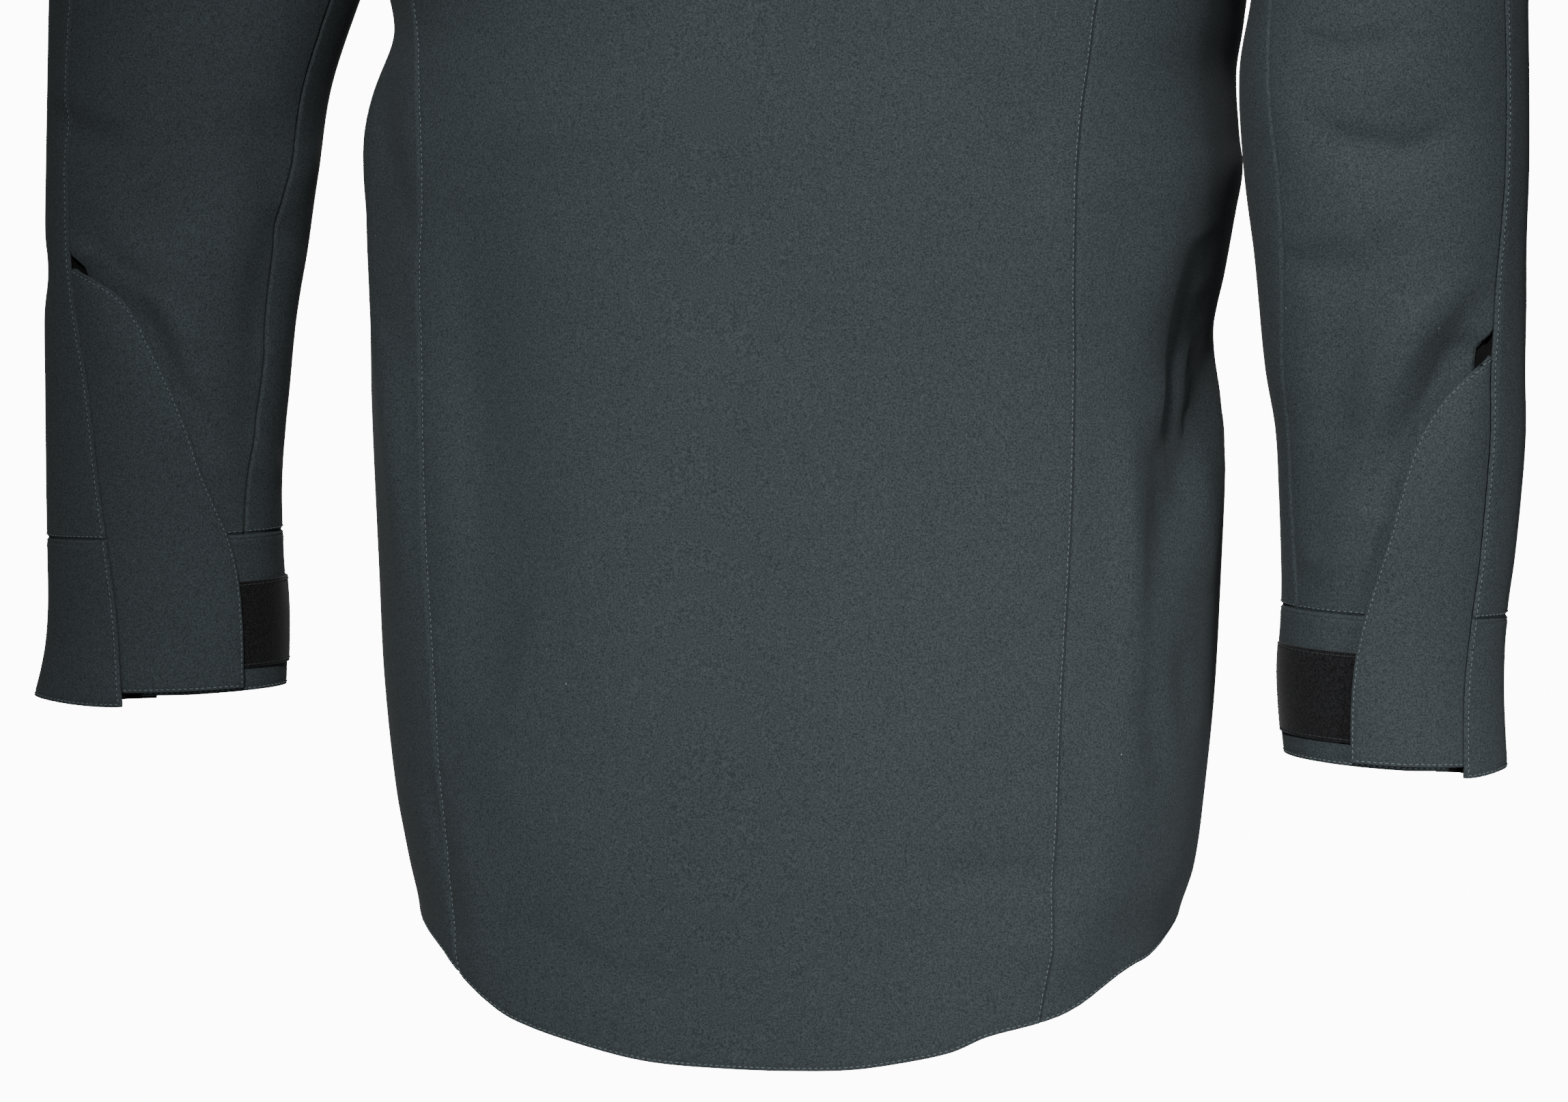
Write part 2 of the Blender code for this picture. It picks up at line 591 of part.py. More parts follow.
def build_sleeve(arm, loop, loop_normals):
    """Both sleeve panels, which begin at the armhole loop."""
    side = side_of(arm)
    heights = sleeve_heights(arm)
    start, end = SEAM_INDEX[arm]
    head = head_grid(arm, loop)
    numbers = [c if c >= start else c + LOOP for c in range(LOOP)]
    ring = [sleeve_outer(arm, column_turn(arm, heights[0], n), heights[0]) for n in numbers]
    tube = head + [ring]
    head_normals = []
    for k in range(HEAD_ROWS):
        row = []
        for c in range(LOOP):
            around = tube[k][(c + 1) % LOOP] - tube[k][c - 1]
            down = tube[k + 1][c] - tube[max(k - 1, 0)][c]
            row.append(down.cross(around).normalized() * side)
        head_normals.append(row)
    for c in range(LOOP):
        level = math.cos(math.pi * c / UNDERARM_INDEX)
        share = 0.5 * ease((level - 0.5) / 0.4)
        head_normals[0][c] = head_normals[0][c].lerp(loop_normals[c], share).normalized()

    def panel(name, columns, set_back):
        points = [[head[k][c % LOOP] for c in columns] for k in range(HEAD_ROWS)]
        normals = [[head_normals[k][c % LOOP] for c in columns] for k in range(HEAD_ROWS)]
        for height in heights:
            back = VENT_SETBACK * vent_share(arm, height) if set_back else 0.0
            seam = section(arm, height, 5)
            row, row_normals = [], []
            for column in columns:
                turn = column_turn(arm, height, column, back)
                normal = sleeve_normal(arm, turn, height)
                push = vent_push(arm, height, turn - seam) if set_back else 0.0
                row.append(sleeve_outer(arm, turn, height) - normal * push)
                row_normals.append(normal)
            points.append(row)
            normals.append(row_normals)
        wall(name, points, normals, FABRIC, "bbtfl")

    panel("sleeve_back_" + arm, range(start, end + 1), True)
    panel("sleeve_front_" + arm, range(end, start + LOOP + 1), False)


def strip(arm, name, rows, columns, spot, finish, thick, sewn=""):
    """A wall on the sleeve whose vertices come from spot(height, column), a turn and a lift."""
    points, normals = [], []
    for height in rows:
        row, row_normals = [], []
        for column in columns:
            turn, out = spot(height, column)
            normal = sleeve_normal(arm, turn, height)
            row.append(sleeve_outer(arm, turn, height) + normal * out)
            row_normals.append(normal)
        points.append(row)
        normals.append(row_normals)
    wall(name + "_" + arm, points, normals, finish, sewn, thick)
    return points, normals


def column_of(arm, height, turn):
    """The cuff band's column, whole or not, at a turn."""
    outer_seam, inner_seam = section(arm, height, 5) + VENT_SETBACK, section(arm, height, 6)
    start, end = SEAM_INDEX[arm]
    if turn <= inner_seam:
        return start + (end - start) * (turn - outer_seam) / (inner_seam - outer_seam)
    share = (turn - inner_seam) / (section(arm, height, 5) + 360.0 - inner_seam)
    return end + (start + LOOP - end) * share


def on_grid(grid, row, column):
    """A spot between a grid's vertices."""
    i, j = min(int(row), len(grid) - 2), min(int(column), len(grid[0]) - 2)
    low = grid[i][j].lerp(grid[i][j + 1], column - j)
    high = grid[i + 1][j].lerp(grid[i + 1][j + 1], column - j)
    return low.lerp(high, row - i)


def build_patch(arm, band, band_rows):
    """The loop tape, made from the band's own points and moved out."""
    from_edge, to_edge, low, high = PATCHES[arm]
    start = SEAM_INDEX[arm][0]
    edge = section(arm, (low + high) / 2, 5) + table_at(FLAPS[arm], (low + high) / 2, 1)
    first = column_of(arm, (low + high) / 2, edge + from_edge) - start
    last = column_of(arm, (low + high) / 2, edge + to_edge) - start
    first = round(first) if abs(first - round(first)) < 0.2 else first
    last = round(last) if abs(last - round(last)) < 0.2 else last
    whole = [j for j in range(len(band[0][0])) if first < j < last]
    heights = [low] + [h for h in band_rows if low + 0.003 < h < high - 0.003] + [high]
    points, normals = [], []
    for height in heights:
        i = max(k for k in range(len(band_rows) - 1) if band_rows[k] <= height)
        row = i + (height - band_rows[i]) / (band_rows[i + 1] - band_rows[i])
        line_normals = [on_grid(band[1], row, j).normalized() for j in [first] + whole + [last]]
        points.append([on_grid(band[0], row, j) + n * (PATCH_GAP + PATCH_THICK)
                       for j, n in zip([first] + whole + [last], line_normals)])
        normals.append(line_normals)
    wall("loop_patch_" + arm, points, normals, LOOP_TAPE, "", PATCH_THICK)


def build_cuff(arm):
    """The cuff band, its loop patch, the vent's gusset and the flap over them."""
    start, end = SEAM_INDEX[arm]
    band_rows = [0.0] + [row[0] for row in FLAPS[arm] if 0.01 < row[0] <= CUFF_HEIGHT[arm]]

    def band_spot(height, column):
        turn = column_turn(arm, height, column, VENT_SETBACK * vent_share(arm, height))
        past = turn - section(arm, height, 5)
        return turn, -vent_push(arm, height, past) if column <= end else 0.0

    def flap_spot(height, share):
        width, stand = table_at(FLAPS[arm], height, 1), table_at(FLAPS[arm], height, 2)
        return section(arm, height, 5) + width * share, stand * (1 - (1 - share) ** 2)

    def gusset_spot(height, past):
        deep = VENT_DEPTH * vent_share(arm, height, 0.010)
        push = deep * (1 - ease((past - VENT_SETBACK) / VENT_EASE)) if past > 0 else 0.0
        clear = GUSSET_GAP if past > 0 else GUSSET_GAP * 2
        return section(arm, height, 5) + past, -(CLOTH + push + clear)

    band = strip(arm, "cuff_band", band_rows, range(start, start + LOOP + 1), band_spot,
                 FABRIC, CLOTH, "tfl")
    build_patch(arm, band, band_rows)
    strip(arm, "cuff_flap", [row[0] for row in FLAPS[arm]], spread(0.0, 1.0, 9), flap_spot,
          FABRIC, CLOTH, "f")
    top = VENT_HEIGHT[arm] + 0.013
    rows = [-0.001, 0.023, 0.046, 0.070, 0.093, 0.115, 0.140, 0.165, 0.190]
    rows = [h for h in rows if h < top - 0.045] + [top - 0.033, top - 0.021, top - 0.011, top]
    strip(arm, "vent_gusset", rows, (-8.0, -1.5, 2.0, 8.0, 15.0), gusset_spot,
          MESH_CLOTH, GUSSET_THICK)


# The whole jacket
for old in list(bpy.data.objects):
    bpy.data.objects.remove(old, do_unlink=True)
GARMENT = bpy.data.collections.new("stab_resistant_jacket")
bpy.context.scene.collection.children.link(GARMENT)
FABRIC = material("jacket_softshell", SLATE, 0.85)
MESH_CLOTH = material("black_mesh", BLACK, 0.90)
LOOP_TAPE = material("loop_tape", BLACK, 0.95)
ZIP_CLOTH = material("zip_tape", BLACK, 0.80)
ZIP_TEETH = material("zip_chain", BLACK, 0.45)
ZIP_METAL = material("zip_metal", METAL, 0.40, 1.0)

BACK_COLUMNS = 16
FRONT_COLUMNS = 8
back = body_grid(back_places(BACK_COLUMNS))
fronts = {arm: body_grid(front_places(side_of(arm), FRONT_COLUMNS)) for arm in ("left", "right")}
sides = {arm: body_grid(side_places(side_of(arm))) for arm in ("left", "right")}

# Sleeves hang from the armhole loop: the back's edge, the side's top, then the front's edge
TIP_ROW = LOWER_ROWS + len(ARMHOLE_ROWS)
for arm in ("left", "right"):
    back_column = BACK_COLUMNS if arm == "left" else 0
    spots = [(back, i, back_column) for i in range(TIP_ROW, LOWER_ROWS - 1, -1)]
    spots += [(sides[arm], LOWER_ROWS, j) for j in range(1, SIDE_COLUMNS)]
    spots += [(fronts[arm], i, 0) for i in range(LOWER_ROWS, TIP_ROW)]
    build_sleeve(arm, [grid[0][i][j] for grid, i, j in spots],
                 [grid[1][i][j] for grid, i, j in spots])
    build_cuff(arm)

# Stand collar on the neck line, from the left front edge round the back to the right
neck = [(fronts["left"], -1, j) for j in range(FRONT_COLUMNS, 0, -1)]
neck += [(back, -1, j) for j in range(BACK_COLUMNS, -1, -1)]
neck += [(fronts["right"], -1, j) for j in range(1, FRONT_COLUMNS + 1)]
neck_points = [grid[0][i][j] for grid, i, j in neck]
COLLAR_ROWS = 3
collar_points = []
for k in range(COLLAR_ROWS + 1):
    v = k / COLLAR_ROWS
    row = []
    for p in neck_points:
        away = Vector((p.x, p.y + 0.008, 0.0)).normalized()
        tall = COLLAR_SIDE + COLLAR_MORE * (1 - min(1.0, (p.x / NECK_HALF) ** 2))
        row.append(p + Vector((0.0, 0.0, tall * v)) - away * COLLAR_LEAN * v)
    collar_points.append(row)
collar_normals = []
for k in range(COLLAR_ROWS + 1):
    row = []
    for j, p in enumerate(neck_points):
        ahead, behind = min(j + 1, len(neck_points) - 1), max(j - 1, 0)
        around = collar_points[k][ahead] - collar_points[k][behind]
        up = collar_points[COLLAR_ROWS][j] - collar_points[0][j]
        found = around.cross(up).normalized()
        row.append(found if found.dot(Vector((p.x, p.y + 0.008, 0.0))) > 0 else -found)
    collar_normals.append(row)
wall("collar", collar_points, collar_normals, FABRIC, "b")

wall("back_panel", *back, FABRIC, "tfl")
for arm in ("left", "right"):
    wall("side_panel_" + arm, *sides[arm], FABRIC, "tfl")
    wall("front_panel_" + arm, *fronts[arm], FABRIC, "tf")

# Zip: the tapes lie under the front edges and the collar's ends, made from their points
def front_lines(arm):
    """Outer points and normals along the front edge and one column in, hem to collar top."""
    points, normals = fronts[arm]
    lines = [(points[i][-1], points[i][-2], normals[i][-1]) for i in range(len(points))]
    column, beside = (0, 1) if arm == "left" else (-1, -2)
    for k in range(1, COLLAR_ROWS + 1):
        lines.append((collar_points[k][column], collar_points[k][beside],
                      collar_normals[k][column]))
    return lines


def at_width(edge, beside, x):
    return edge.lerp(beside, (x - edge.x) / (beside.x - edge.x))


def trimmed(lines, bottom, top):
    """The lines with the first and last moved in by a distance along the front."""
    lines = list(lines)
    for end, step, distance in ((0, 1, bottom), (len(lines) - 1, -1, top)):
        share = distance / (lines[end + step][0] - lines[end][0]).length
        lines[end] = tuple(a.lerp(b, share) for a, b in zip(lines[end], lines[end + step]))
    return lines


for arm in ("left", "right"):
    side = side_of(arm)
    points, normals = [], []
    for edge, beside, normal in trimmed(front_lines(arm), 0.0015, 0.0015):
        under = -normal * (CLOTH + SEAM + 0.0001)
        shift = abs(normal.x) * (CLOTH + SEAM + TAPE)
        points.append([at_width(edge, beside, side * (x + shift)) + under for x in ZIP_COLUMNS])
        normals.append([normal] * len(ZIP_COLUMNS))
    wall("zip_tape_" + arm, points, normals, ZIP_CLOTH, "", TAPE)

# The chain runs up the middle and ends inside the slider
middle = []
for edge, beside, normal in trimmed(front_lines("left"), 0.0040, 0.0):
    spot = Vector((0.0, edge.y, edge.z))
    middle.append((spot, spot, Vector((0.0, normal.y, normal.z)).normalized()))
top_share = (SLIDER_TOP - SLIDER_POST - SEAM - middle[-2][0].z) / (
    middle[-1][0].z - middle[-2][0].z)
while top_share < 0.05:
    middle.pop()
    top_share = (SLIDER_TOP - SLIDER_POST - SEAM - middle[-2][0].z) / (
        middle[-1][0].z - middle[-2][0].z)
slide_way = (middle[-1][0] - middle[-2][0]).normalized()
slide_out = Vector((1.0, 0.0, 0.0)).cross(slide_way).normalized()
if slide_out.y > 0:
    slide_out = -slide_out
slider_spot = middle[-2][0].lerp(middle[-1][0], (SLIDER_TOP - middle[-2][0].z)
                                 / (middle[-1][0].z - middle[-2][0].z))
middle[-1] = (middle[-2][0].lerp(middle[-1][0], top_share), None, middle[-1][2])
points = [[spot - n * CHAIN_DEPTH + Vector((x, 0.0, 0.0)) for x in (-CHAIN_HALF, CHAIN_HALF)]
          for spot, _, n in middle]
wall("zip_chain", points, [[n, n] for _, _, n in middle], ZIP_TEETH, "", CHAIN_THICK)


# Slider: two plates joined by a post at the top, with a bail; u runs up the zip, v outward
def box_at(name, x_half, u_range, v_range, bevel=0.0):
    bpy.ops.mesh.primitive_cube_add(size=1.0)
    piece = bpy.context.active_object
    piece.name = name
    piece.scale = (2 * x_half, u_range[1] - u_range[0], v_range[1] - v_range[0])
    middle_u, middle_v = sum(u_range) / 2, sum(v_range) / 2
    piece.location = (0.0, middle_u, middle_v)
    bpy.ops.object.transform_apply(location=True, rotation=False, scale=True)
    if bevel:
        edge = piece.modifiers.new("edge", "BEVEL")
        edge.width = bevel
        edge.segments = 1
        edge.limit_method = "ANGLE"
    return piece


def joined(target, tool, operation):
    step = target.modifiers.new("join", "BOOLEAN")
    step.operation = operation
    step.solver = "EXACT"
    step.object = tool
    bpy.context.view_layer.objects.active = target
    for item in list(target.modifiers):
        bpy.ops.object.modifier_apply(modifier=item.name)
    bpy.data.objects.remove(tool, do_unlink=True)


def settle(piece, finish, matrix, origin):
    """Puts a piece made in zip axes into place, with its origin at a spot."""
    for vertex in piece.data.vertices:
        vertex.co = matrix @ vertex.co - origin
    piece.location = origin
    piece.data.materials.clear()
    piece.data.materials.append(finish)
    for owner in list(piece.users_collection):
        owner.objects.unlink(piece)
    GARMENT.objects.link(piece)


FACE = SEAM - CHAIN_DEPTH + SLIDER_PLATE        # the slider's outer face
UNDER = -CHAIN_DEPTH - CHAIN_THICK - SEAM       # inner plate's outer side
CENTRE = -SLIDER_LENGTH / 2
slider = box_at("zip_slider", SLIDER_HALF, (-SLIDER_LENGTH, 0.0), (FACE - SLIDER_PLATE, FACE),
                0.0004)
joined(slider, box_at("inner", SLIDER_HALF, (-SLIDER_LENGTH, 0.0),
                      (UNDER - SLIDER_PLATE, UNDER), 0.0004), "UNION")
joined(slider, box_at("post", 0.0023, (-SLIDER_POST, -0.0003),
                      (UNDER - 0.0005, FACE - SLIDER_PLATE + 0.0005)), "UNION")
bail = box_at("bail", BAIL_HALF, (CENTRE - BAIL_OUTER[0] / 2, CENTRE + BAIL_OUTER[0] / 2),
              (FACE - 0.0004, FACE + BAIL_OUTER[1]))
joined(bail, box_at("window", 0.01, (CENTRE - BAIL_WINDOW[0] / 2, CENTRE + BAIL_WINDOW[0] / 2),
                    (FACE, FACE + BAIL_WINDOW[1])), "DIFFERENCE")
joined(slider, bail, "UNION")

# Pull tab: a bar through the bail, two arms and the grip, lying down along the zip
PIVOT = Vector((0.0, CENTRE, FACE + PIVOT_STAND))
bpy.ops.mesh.primitive_cylinder_add(vertices=16, radius=PIVOT_RADIUS, depth=2 * PULL_HALF - 0.0008,
                                    location=PIVOT, rotation=(0.0, math.pi / 2, 0.0))
bar = bpy.context.active_object
bpy.ops.object.transform_apply(location=True, rotation=True, scale=True)
pull = box_at("zip_pull", PULL_HALF, (CENTRE - PULL_LENGTH, CENTRE),
              (PIVOT.z - 0.0006, PIVOT.z + 0.0006))
joined(pull, box_at("window", PULL_WINDOW_HALF, (CENTRE - PULL_WINDOW, CENTRE + 0.01),
                    (FACE - 0.01, FACE + 0.02)), "DIFFERENCE")
joined(pull, box_at("hole", 0.0022, (CENTRE - PULL_LENGTH + 0.0035, CENTRE - PULL_LENGTH + 0.0165),
                    (FACE - 0.01, FACE + 0.02), 0.0008), "DIFFERENCE")
joined(pull, bar, "UNION")

placing = Matrix((Vector((1.0, 0.0, 0.0)), slide_way, slide_out)).transposed()
for piece, origin in ((slider, None), (pull, PIVOT)):
    for vertex in piece.data.vertices:
        vertex.co = placing @ vertex.co + slider_spot
    settle(piece, ZIP_METAL, Matrix.Identity(3),
           Vector((0.0, 0.0, 0.0)) if origin is None else placing @ origin + slider_spot)
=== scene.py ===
"""The dressed look of a stab-resistant jacket as it is worn, seen from behind.

Every cloth piece is drafted on the same tables as its solid, then finished as sewn cloth:
rolled seams, rows of topstitching, soft creases, folded edges and a dark inside.
"""
import math

import bpy
import numpy as np
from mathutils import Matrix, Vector


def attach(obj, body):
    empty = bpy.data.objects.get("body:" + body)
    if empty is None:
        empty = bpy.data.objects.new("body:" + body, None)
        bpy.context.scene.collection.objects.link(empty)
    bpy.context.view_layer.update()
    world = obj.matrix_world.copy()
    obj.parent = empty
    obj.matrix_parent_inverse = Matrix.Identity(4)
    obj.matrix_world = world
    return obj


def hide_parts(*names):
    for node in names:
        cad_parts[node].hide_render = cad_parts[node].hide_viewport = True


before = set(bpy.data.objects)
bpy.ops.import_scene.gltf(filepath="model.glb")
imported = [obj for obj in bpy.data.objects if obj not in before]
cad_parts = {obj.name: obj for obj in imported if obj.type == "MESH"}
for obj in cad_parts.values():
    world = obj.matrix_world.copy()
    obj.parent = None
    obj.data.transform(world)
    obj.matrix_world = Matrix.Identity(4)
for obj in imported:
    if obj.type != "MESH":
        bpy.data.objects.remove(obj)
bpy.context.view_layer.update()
bpy.ops.object.select_all(action="DESELECT")

# Camera at the photograph's angle
AZIMUTH = math.radians(195.5)
ELEVATION = math.radians(5.0)
AIM = Vector((0.0087, 0.0024, -0.5763))
STEP_BACK = 3.2
away = Vector((math.sin(AZIMUTH) * math.cos(ELEVATION),
               -math.cos(AZIMUTH) * math.cos(ELEVATION), math.sin(ELEVATION)))
lens = bpy.data.cameras.new("catalogue_camera")
lens.sensor_width = 36.0
lens.lens = 132.96
lens.clip_end = 60.0
camera = bpy.data.objects.new("catalogue_camera", lens)
camera.location = AIM + away * STEP_BACK
camera.rotation_euler = away.to_track_quat("Z", "Y").to_euler()
bpy.context.scene.collection.objects.link(camera)
bpy.context.scene.camera = camera

# Driving sizes
CLOTH = 0.0020            # soft shell with its protective layer
SEAM = 0.0003             # gap between two sewn edges
NECK_HALF = 0.082         # from the centre to a neck point
SHOULDER_TIP = (0.243, -0.066)    # x and z of the shoulder seam's outer end
BACK_SCYE = -0.215        # height where the back seam runs into the armhole
FRONT_SCYE = -0.205
UNDERARM = -0.247
NAPE_DROP = 0.014
FRONT_NECK_DROP = 0.085
COLLAR_SIDE = 0.052       # height of the stand collar at the sides, and how much more
COLLAR_MORE = 0.012       # it has at the centre back and front
COLLAR_LEAN = 0.005
PLACKET_HALF = 0.007      # half the opening between the front edges, which the zip fills
CUFF_HEIGHT = {"left": 0.0910, "right": 0.0820}   # sewn-on cuff band, seam to hem
CUFF_HEM = {"left": -0.6650, "right": -0.6809}
CUFF_TILT = {"left": 0.0045, "right": 0.0030}     # the hem is lower outside by twice this
VENT_HEIGHT = {"left": 0.2527, "right": 0.2350}   # the vent's top above the cuff hem
VENT_DEPTH = 0.0035       # how far the back sleeve is pushed in under the flap
VENT_SETBACK = 8.0        # degrees between the vent's two edges
VENT_EASE = 28.0          # degrees over which the back sleeve comes out again
SLEEVE_TOP = -0.262       # height of the sleeve's first full ring

# height, half-width on the wearer's left and right, depth to the back and front, squareness
TORSO_RINGS = (
    (0.0000, 0.0820, 0.0820, 0.056, 0.050, 2.0),
    (-0.0165, 0.1220, 0.1220, 0.068, 0.055, 2.0),
    (-0.0330, 0.1630, 0.1630, 0.078, 0.062, 2.1),
    (-0.0495, 0.2030, 0.2030, 0.088, 0.069, 2.2),
    (-0.0660, 0.2430, 0.2430, 0.096, 0.077, 2.2),
    (-0.0850, 0.2710, 0.2710, 0.104, 0.087, 2.2),
    (-0.1200, 0.2880, 0.2880, 0.116, 0.106, 2.3),
    (-0.1600, 0.2800, 0.2830, 0.126, 0.123, 2.4),
    (-0.2000, 0.2600, 0.2670, 0.133, 0.135, 2.4),
    (-0.2350, 0.2400, 0.2530, 0.136, 0.142, 2.4),
    (-0.2710, 0.2295, 0.2455, 0.137, 0.146, 2.4),
    (-0.2900, 0.2285, 0.2430, 0.137, 0.148, 2.4),
    (-0.3130, 0.2358, 0.2395, 0.137, 0.149, 2.4),
    (-0.3450, 0.2426, 0.2410, 0.137, 0.150, 2.4),
    (-0.3655, 0.2434, 0.2430, 0.136, 0.150, 2.4),
    (-0.3890, 0.2423, 0.2389, 0.135, 0.150, 2.4),
    (-0.4230, 0.2420, 0.2320, 0.134, 0.149, 2.4),
    (-0.4570, 0.2422, 0.2250, 0.133, 0.148, 2.4),
    (-0.5000, 0.2416, 0.2252, 0.134, 0.148, 2.4),
    (-0.5870, 0.2376, 0.2303, 0.137, 0.147, 2.4),
    (-0.6470, 0.2346, 0.2299, 0.139, 0.145, 2.4),
    (-0.7100, 0.2276, 0.2243, 0.140, 0.142, 2.4),
    (-0.7470, 0.2203, 0.2190, 0.140, 0.140, 2.4),
    (-0.7780, 0.2136, 0.2098, 0.139, 0.138, 2.4),
    (-0.8600, 0.2085, 0.2060, 0.137, 0.136, 2.4),
)
# height, how far from the centre lie the left back seam, the side front seams and the right
# back seam: the jacket is worn a little turned, so the two back seams differ
BODY_SEAMS = (
    (-0.205, 0.2075, 0.1990, 0.2075),
    (-0.215, 0.2060, 0.1980, 0.2060),
    (-0.272, 0.1963, 0.1940, 0.1897),
    (-0.300, 0.1915, 0.1915, 0.1858),
    (-0.330, 0.1885, 0.1900, 0.1820),
    (-0.366, 0.1869, 0.1892, 0.1798),
    (-0.421, 0.1906, 0.1889, 0.1775),
    (-0.458, 0.1910, 0.1885, 0.1769),
    (-0.550, 0.1879, 0.1880, 0.1763),
    (-0.650, 0.1805, 0.1860, 0.1725),
    (-0.750, 0.1742, 0.1780, 0.1682),
    (-0.800, 0.1670, 0.1700, 0.1626),
    (-0.860, 0.1590, 0.1650, 0.1540),
)
# height, half the width across the back and across the chest at the armhole
ARMHOLE = (
    (-0.215, 0.2060, 0.1998),
    (-0.205, 0.2053, 0.1990),
    (-0.180, 0.2040, 0.1960),
    (-0.150, 0.2040, 0.1940),
    (-0.120, 0.2075, 0.1990),
    (-0.095, 0.2160, 0.2100),
    (-0.080, 0.2265, 0.2230),
    (-0.070, 0.2380, 0.2370),
    (-0.066, 0.2430, 0.2430),
)
# degrees round from the centre back towards the wearer's left, height of the hem
HEM_LINE = (
    (-180.0, -0.757), (-120.0, -0.764), (-96.0, -0.775), (-79.3, -0.788), (-71.1, -0.7917),
    (-63.8, -0.7985), (-57.0, -0.8074), (-52.5, -0.8125), (-47.7, -0.8161), (-36.5, -0.8230),
    (-30.3, -0.8307), (-19.8, -0.8378), (-13.7, -0.8408), (-6.6, -0.8421), (0.0, -0.8425),
    (9.7, -0.8410), (19.7, -0.8350), (34.5, -0.8240), (41.3, -0.8144), (50.2, -0.8011),
    (57.4, -0.7909), (73.4, -0.7785), (90.0, -0.768), (120.0, -0.760), (180.0, -0.757),
)
# degrees round, height, reach round, reach up and down, lean (degrees per metre), depth
BODY_FOLDS = (
    (-84.0, -0.520, 7.0, 0.070, -250.0, -0.0065),
    (-66.0, -0.420, 9.0, 0.070, -60.0, 0.0035),
    (-97.0, -0.520, 10.0, 0.090, -60.0, 0.0050),
    (-58.0, -0.700, 8.0, 0.090, -20.0, 0.0030),
    (-80.0, -0.300, 12.0, 0.030, 0.0, -0.0030),
    (66.0, -0.420, 6.0, 0.120, 60.0, 0.0040),
    (56.0, -0.440, 6.0, 0.130, 50.0, -0.0030),
    (78.0, -0.300, 14.0, 0.022, 0.0, -0.0040),
    (30.0, -0.500, 10.0, 0.140, 30.0, -0.0030),
    (44.0, -0.770, 9.0, 0.060, 60.0, 0.0030),
    (10.0, -0.560, 14.0, 0.180, 10.0, 0.0020),
    (-22.0, -0.640, 12.0, 0.120, -20.0, -0.0020),
    (130.0, -0.420, 12.0, 0.120, 40.0, 0.0040),
    (-132.0, -0.440, 12.0, 0.130, -40.0, 0.0040),
    (112.0, -0.600, 10.0, 0.120, 30.0, -0.0040),
    (-114.0, -0.620, 10.0, 0.110, -30.0, -0.0040),
)

# One arm each: height, centre x and y, half-width, half-depth,
# then degrees round from the outer side towards the back of the outer and inner seams
SLEEVE_SECTIONS = {
    "left": (
        (-0.2620, 0.3395, 0.0180, 0.0915, 0.0680, 49.0, 160.0),
        (-0.3174, 0.3497, 0.0200, 0.0821, 0.0650, 49.0, 160.0),
        (-0.3565, 0.3541, 0.0200, 0.0791, 0.0620, 49.5, 159.5),
        (-0.4095, 0.3588, 0.0200, 0.0761, 0.0600, 52.7, 159.0),
        (-0.4488, 0.3632, 0.0180, 0.0734, 0.0575, 59.0, 159.0),
        (-0.4880, 0.3665, 0.0150, 0.0716, 0.0550, 66.2, 157.5),
        (-0.5427, 0.3715, 0.0100, 0.0690, 0.0520, 73.0, 151.5),
        (-0.5821, 0.3734, 0.0050, 0.0692, 0.0500, 77.2, 148.0),
        (-0.6216, 0.3745, 0.0000, 0.0708, 0.0490, 80.5, 147.5),
        (-0.6650, 0.3798, -0.0050, 0.0736, 0.0480, 85.3, 147.5),
    ),
    "right": (
        (-0.2620, -0.3293, 0.0180, 0.0732, 0.0640, 26.0, 141.0),
        (-0.2741, -0.3288, 0.0200, 0.0735, 0.0640, 25.5, 139.5),
        (-0.3120, -0.3262, 0.0200, 0.0769, 0.0640, 24.5, 134.0),
        (-0.3633, -0.3278, 0.0200, 0.0759, 0.0625, 25.5, 130.5),
        (-0.4115, -0.3304, 0.0200, 0.0722, 0.0600, 29.0, 134.0),
        (-0.4697, -0.3332, 0.0180, 0.0694, 0.0570, 34.0, 141.0),
        (-0.5030, -0.3359, 0.0150, 0.0669, 0.0550, 36.2, 145.0),
        (-0.5365, -0.3354, 0.0120, 0.0649, 0.0530, 37.2, 145.5),
        (-0.5696, -0.3342, 0.0100, 0.0627, 0.0510, 37.6, 143.5),
        (-0.5982, -0.3323, 0.0080, 0.0607, 0.0500, 38.4, 140.5),
        (-0.6369, -0.3303, 0.0050, 0.0610, 0.0490, 41.4, 140.0),
        (-0.6840, -0.3325, 0.0000, 0.0604, 0.0480, 44.5, 142.0),
    ),
}
# height above the cuff hem, degrees round from the seam to the flap's free edge,
# how far the free edge stands off the sleeve
FLAPS = {
    "left": (
        (0.003, 58.6, 0.0042), (0.023, 60.2, 0.0042), (0.046, 61.8, 0.0042),
        (0.070, 62.8, 0.0042), (0.091, 60.9, 0.0042), (0.110, 56.4, 0.0044),
        (0.131, 51.4, 0.0046), (0.151, 47.7, 0.0047), (0.170, 43.8, 0.0048),
        (0.190, 39.0, 0.0048), (0.208, 34.5, 0.0046), (0.222, 30.0, 0.0040),
        (0.231, 24.0, 0.0030), (0.237, 16.0, 0.0018), (0.243, 5.0, 0.0006),
    ),
    "right": (
        (0.003, 59.8, 0.0044), (0.023, 59.6, 0.0046), (0.046, 59.2, 0.0048),
        (0.066, 59.0, 0.0050), (0.082, 57.6, 0.0052), (0.108, 52.8, 0.0058),
        (0.122, 49.8, 0.0060), (0.140, 46.3, 0.0062), (0.160, 41.8, 0.0063),
        (0.174, 37.6, 0.0061), (0.185, 32.0, 0.0054), (0.197, 24.2, 0.0044),
        (0.206, 17.2, 0.0033), (0.214, 9.5, 0.0020), (0.221, 2.5, 0.0008),
    ),
}
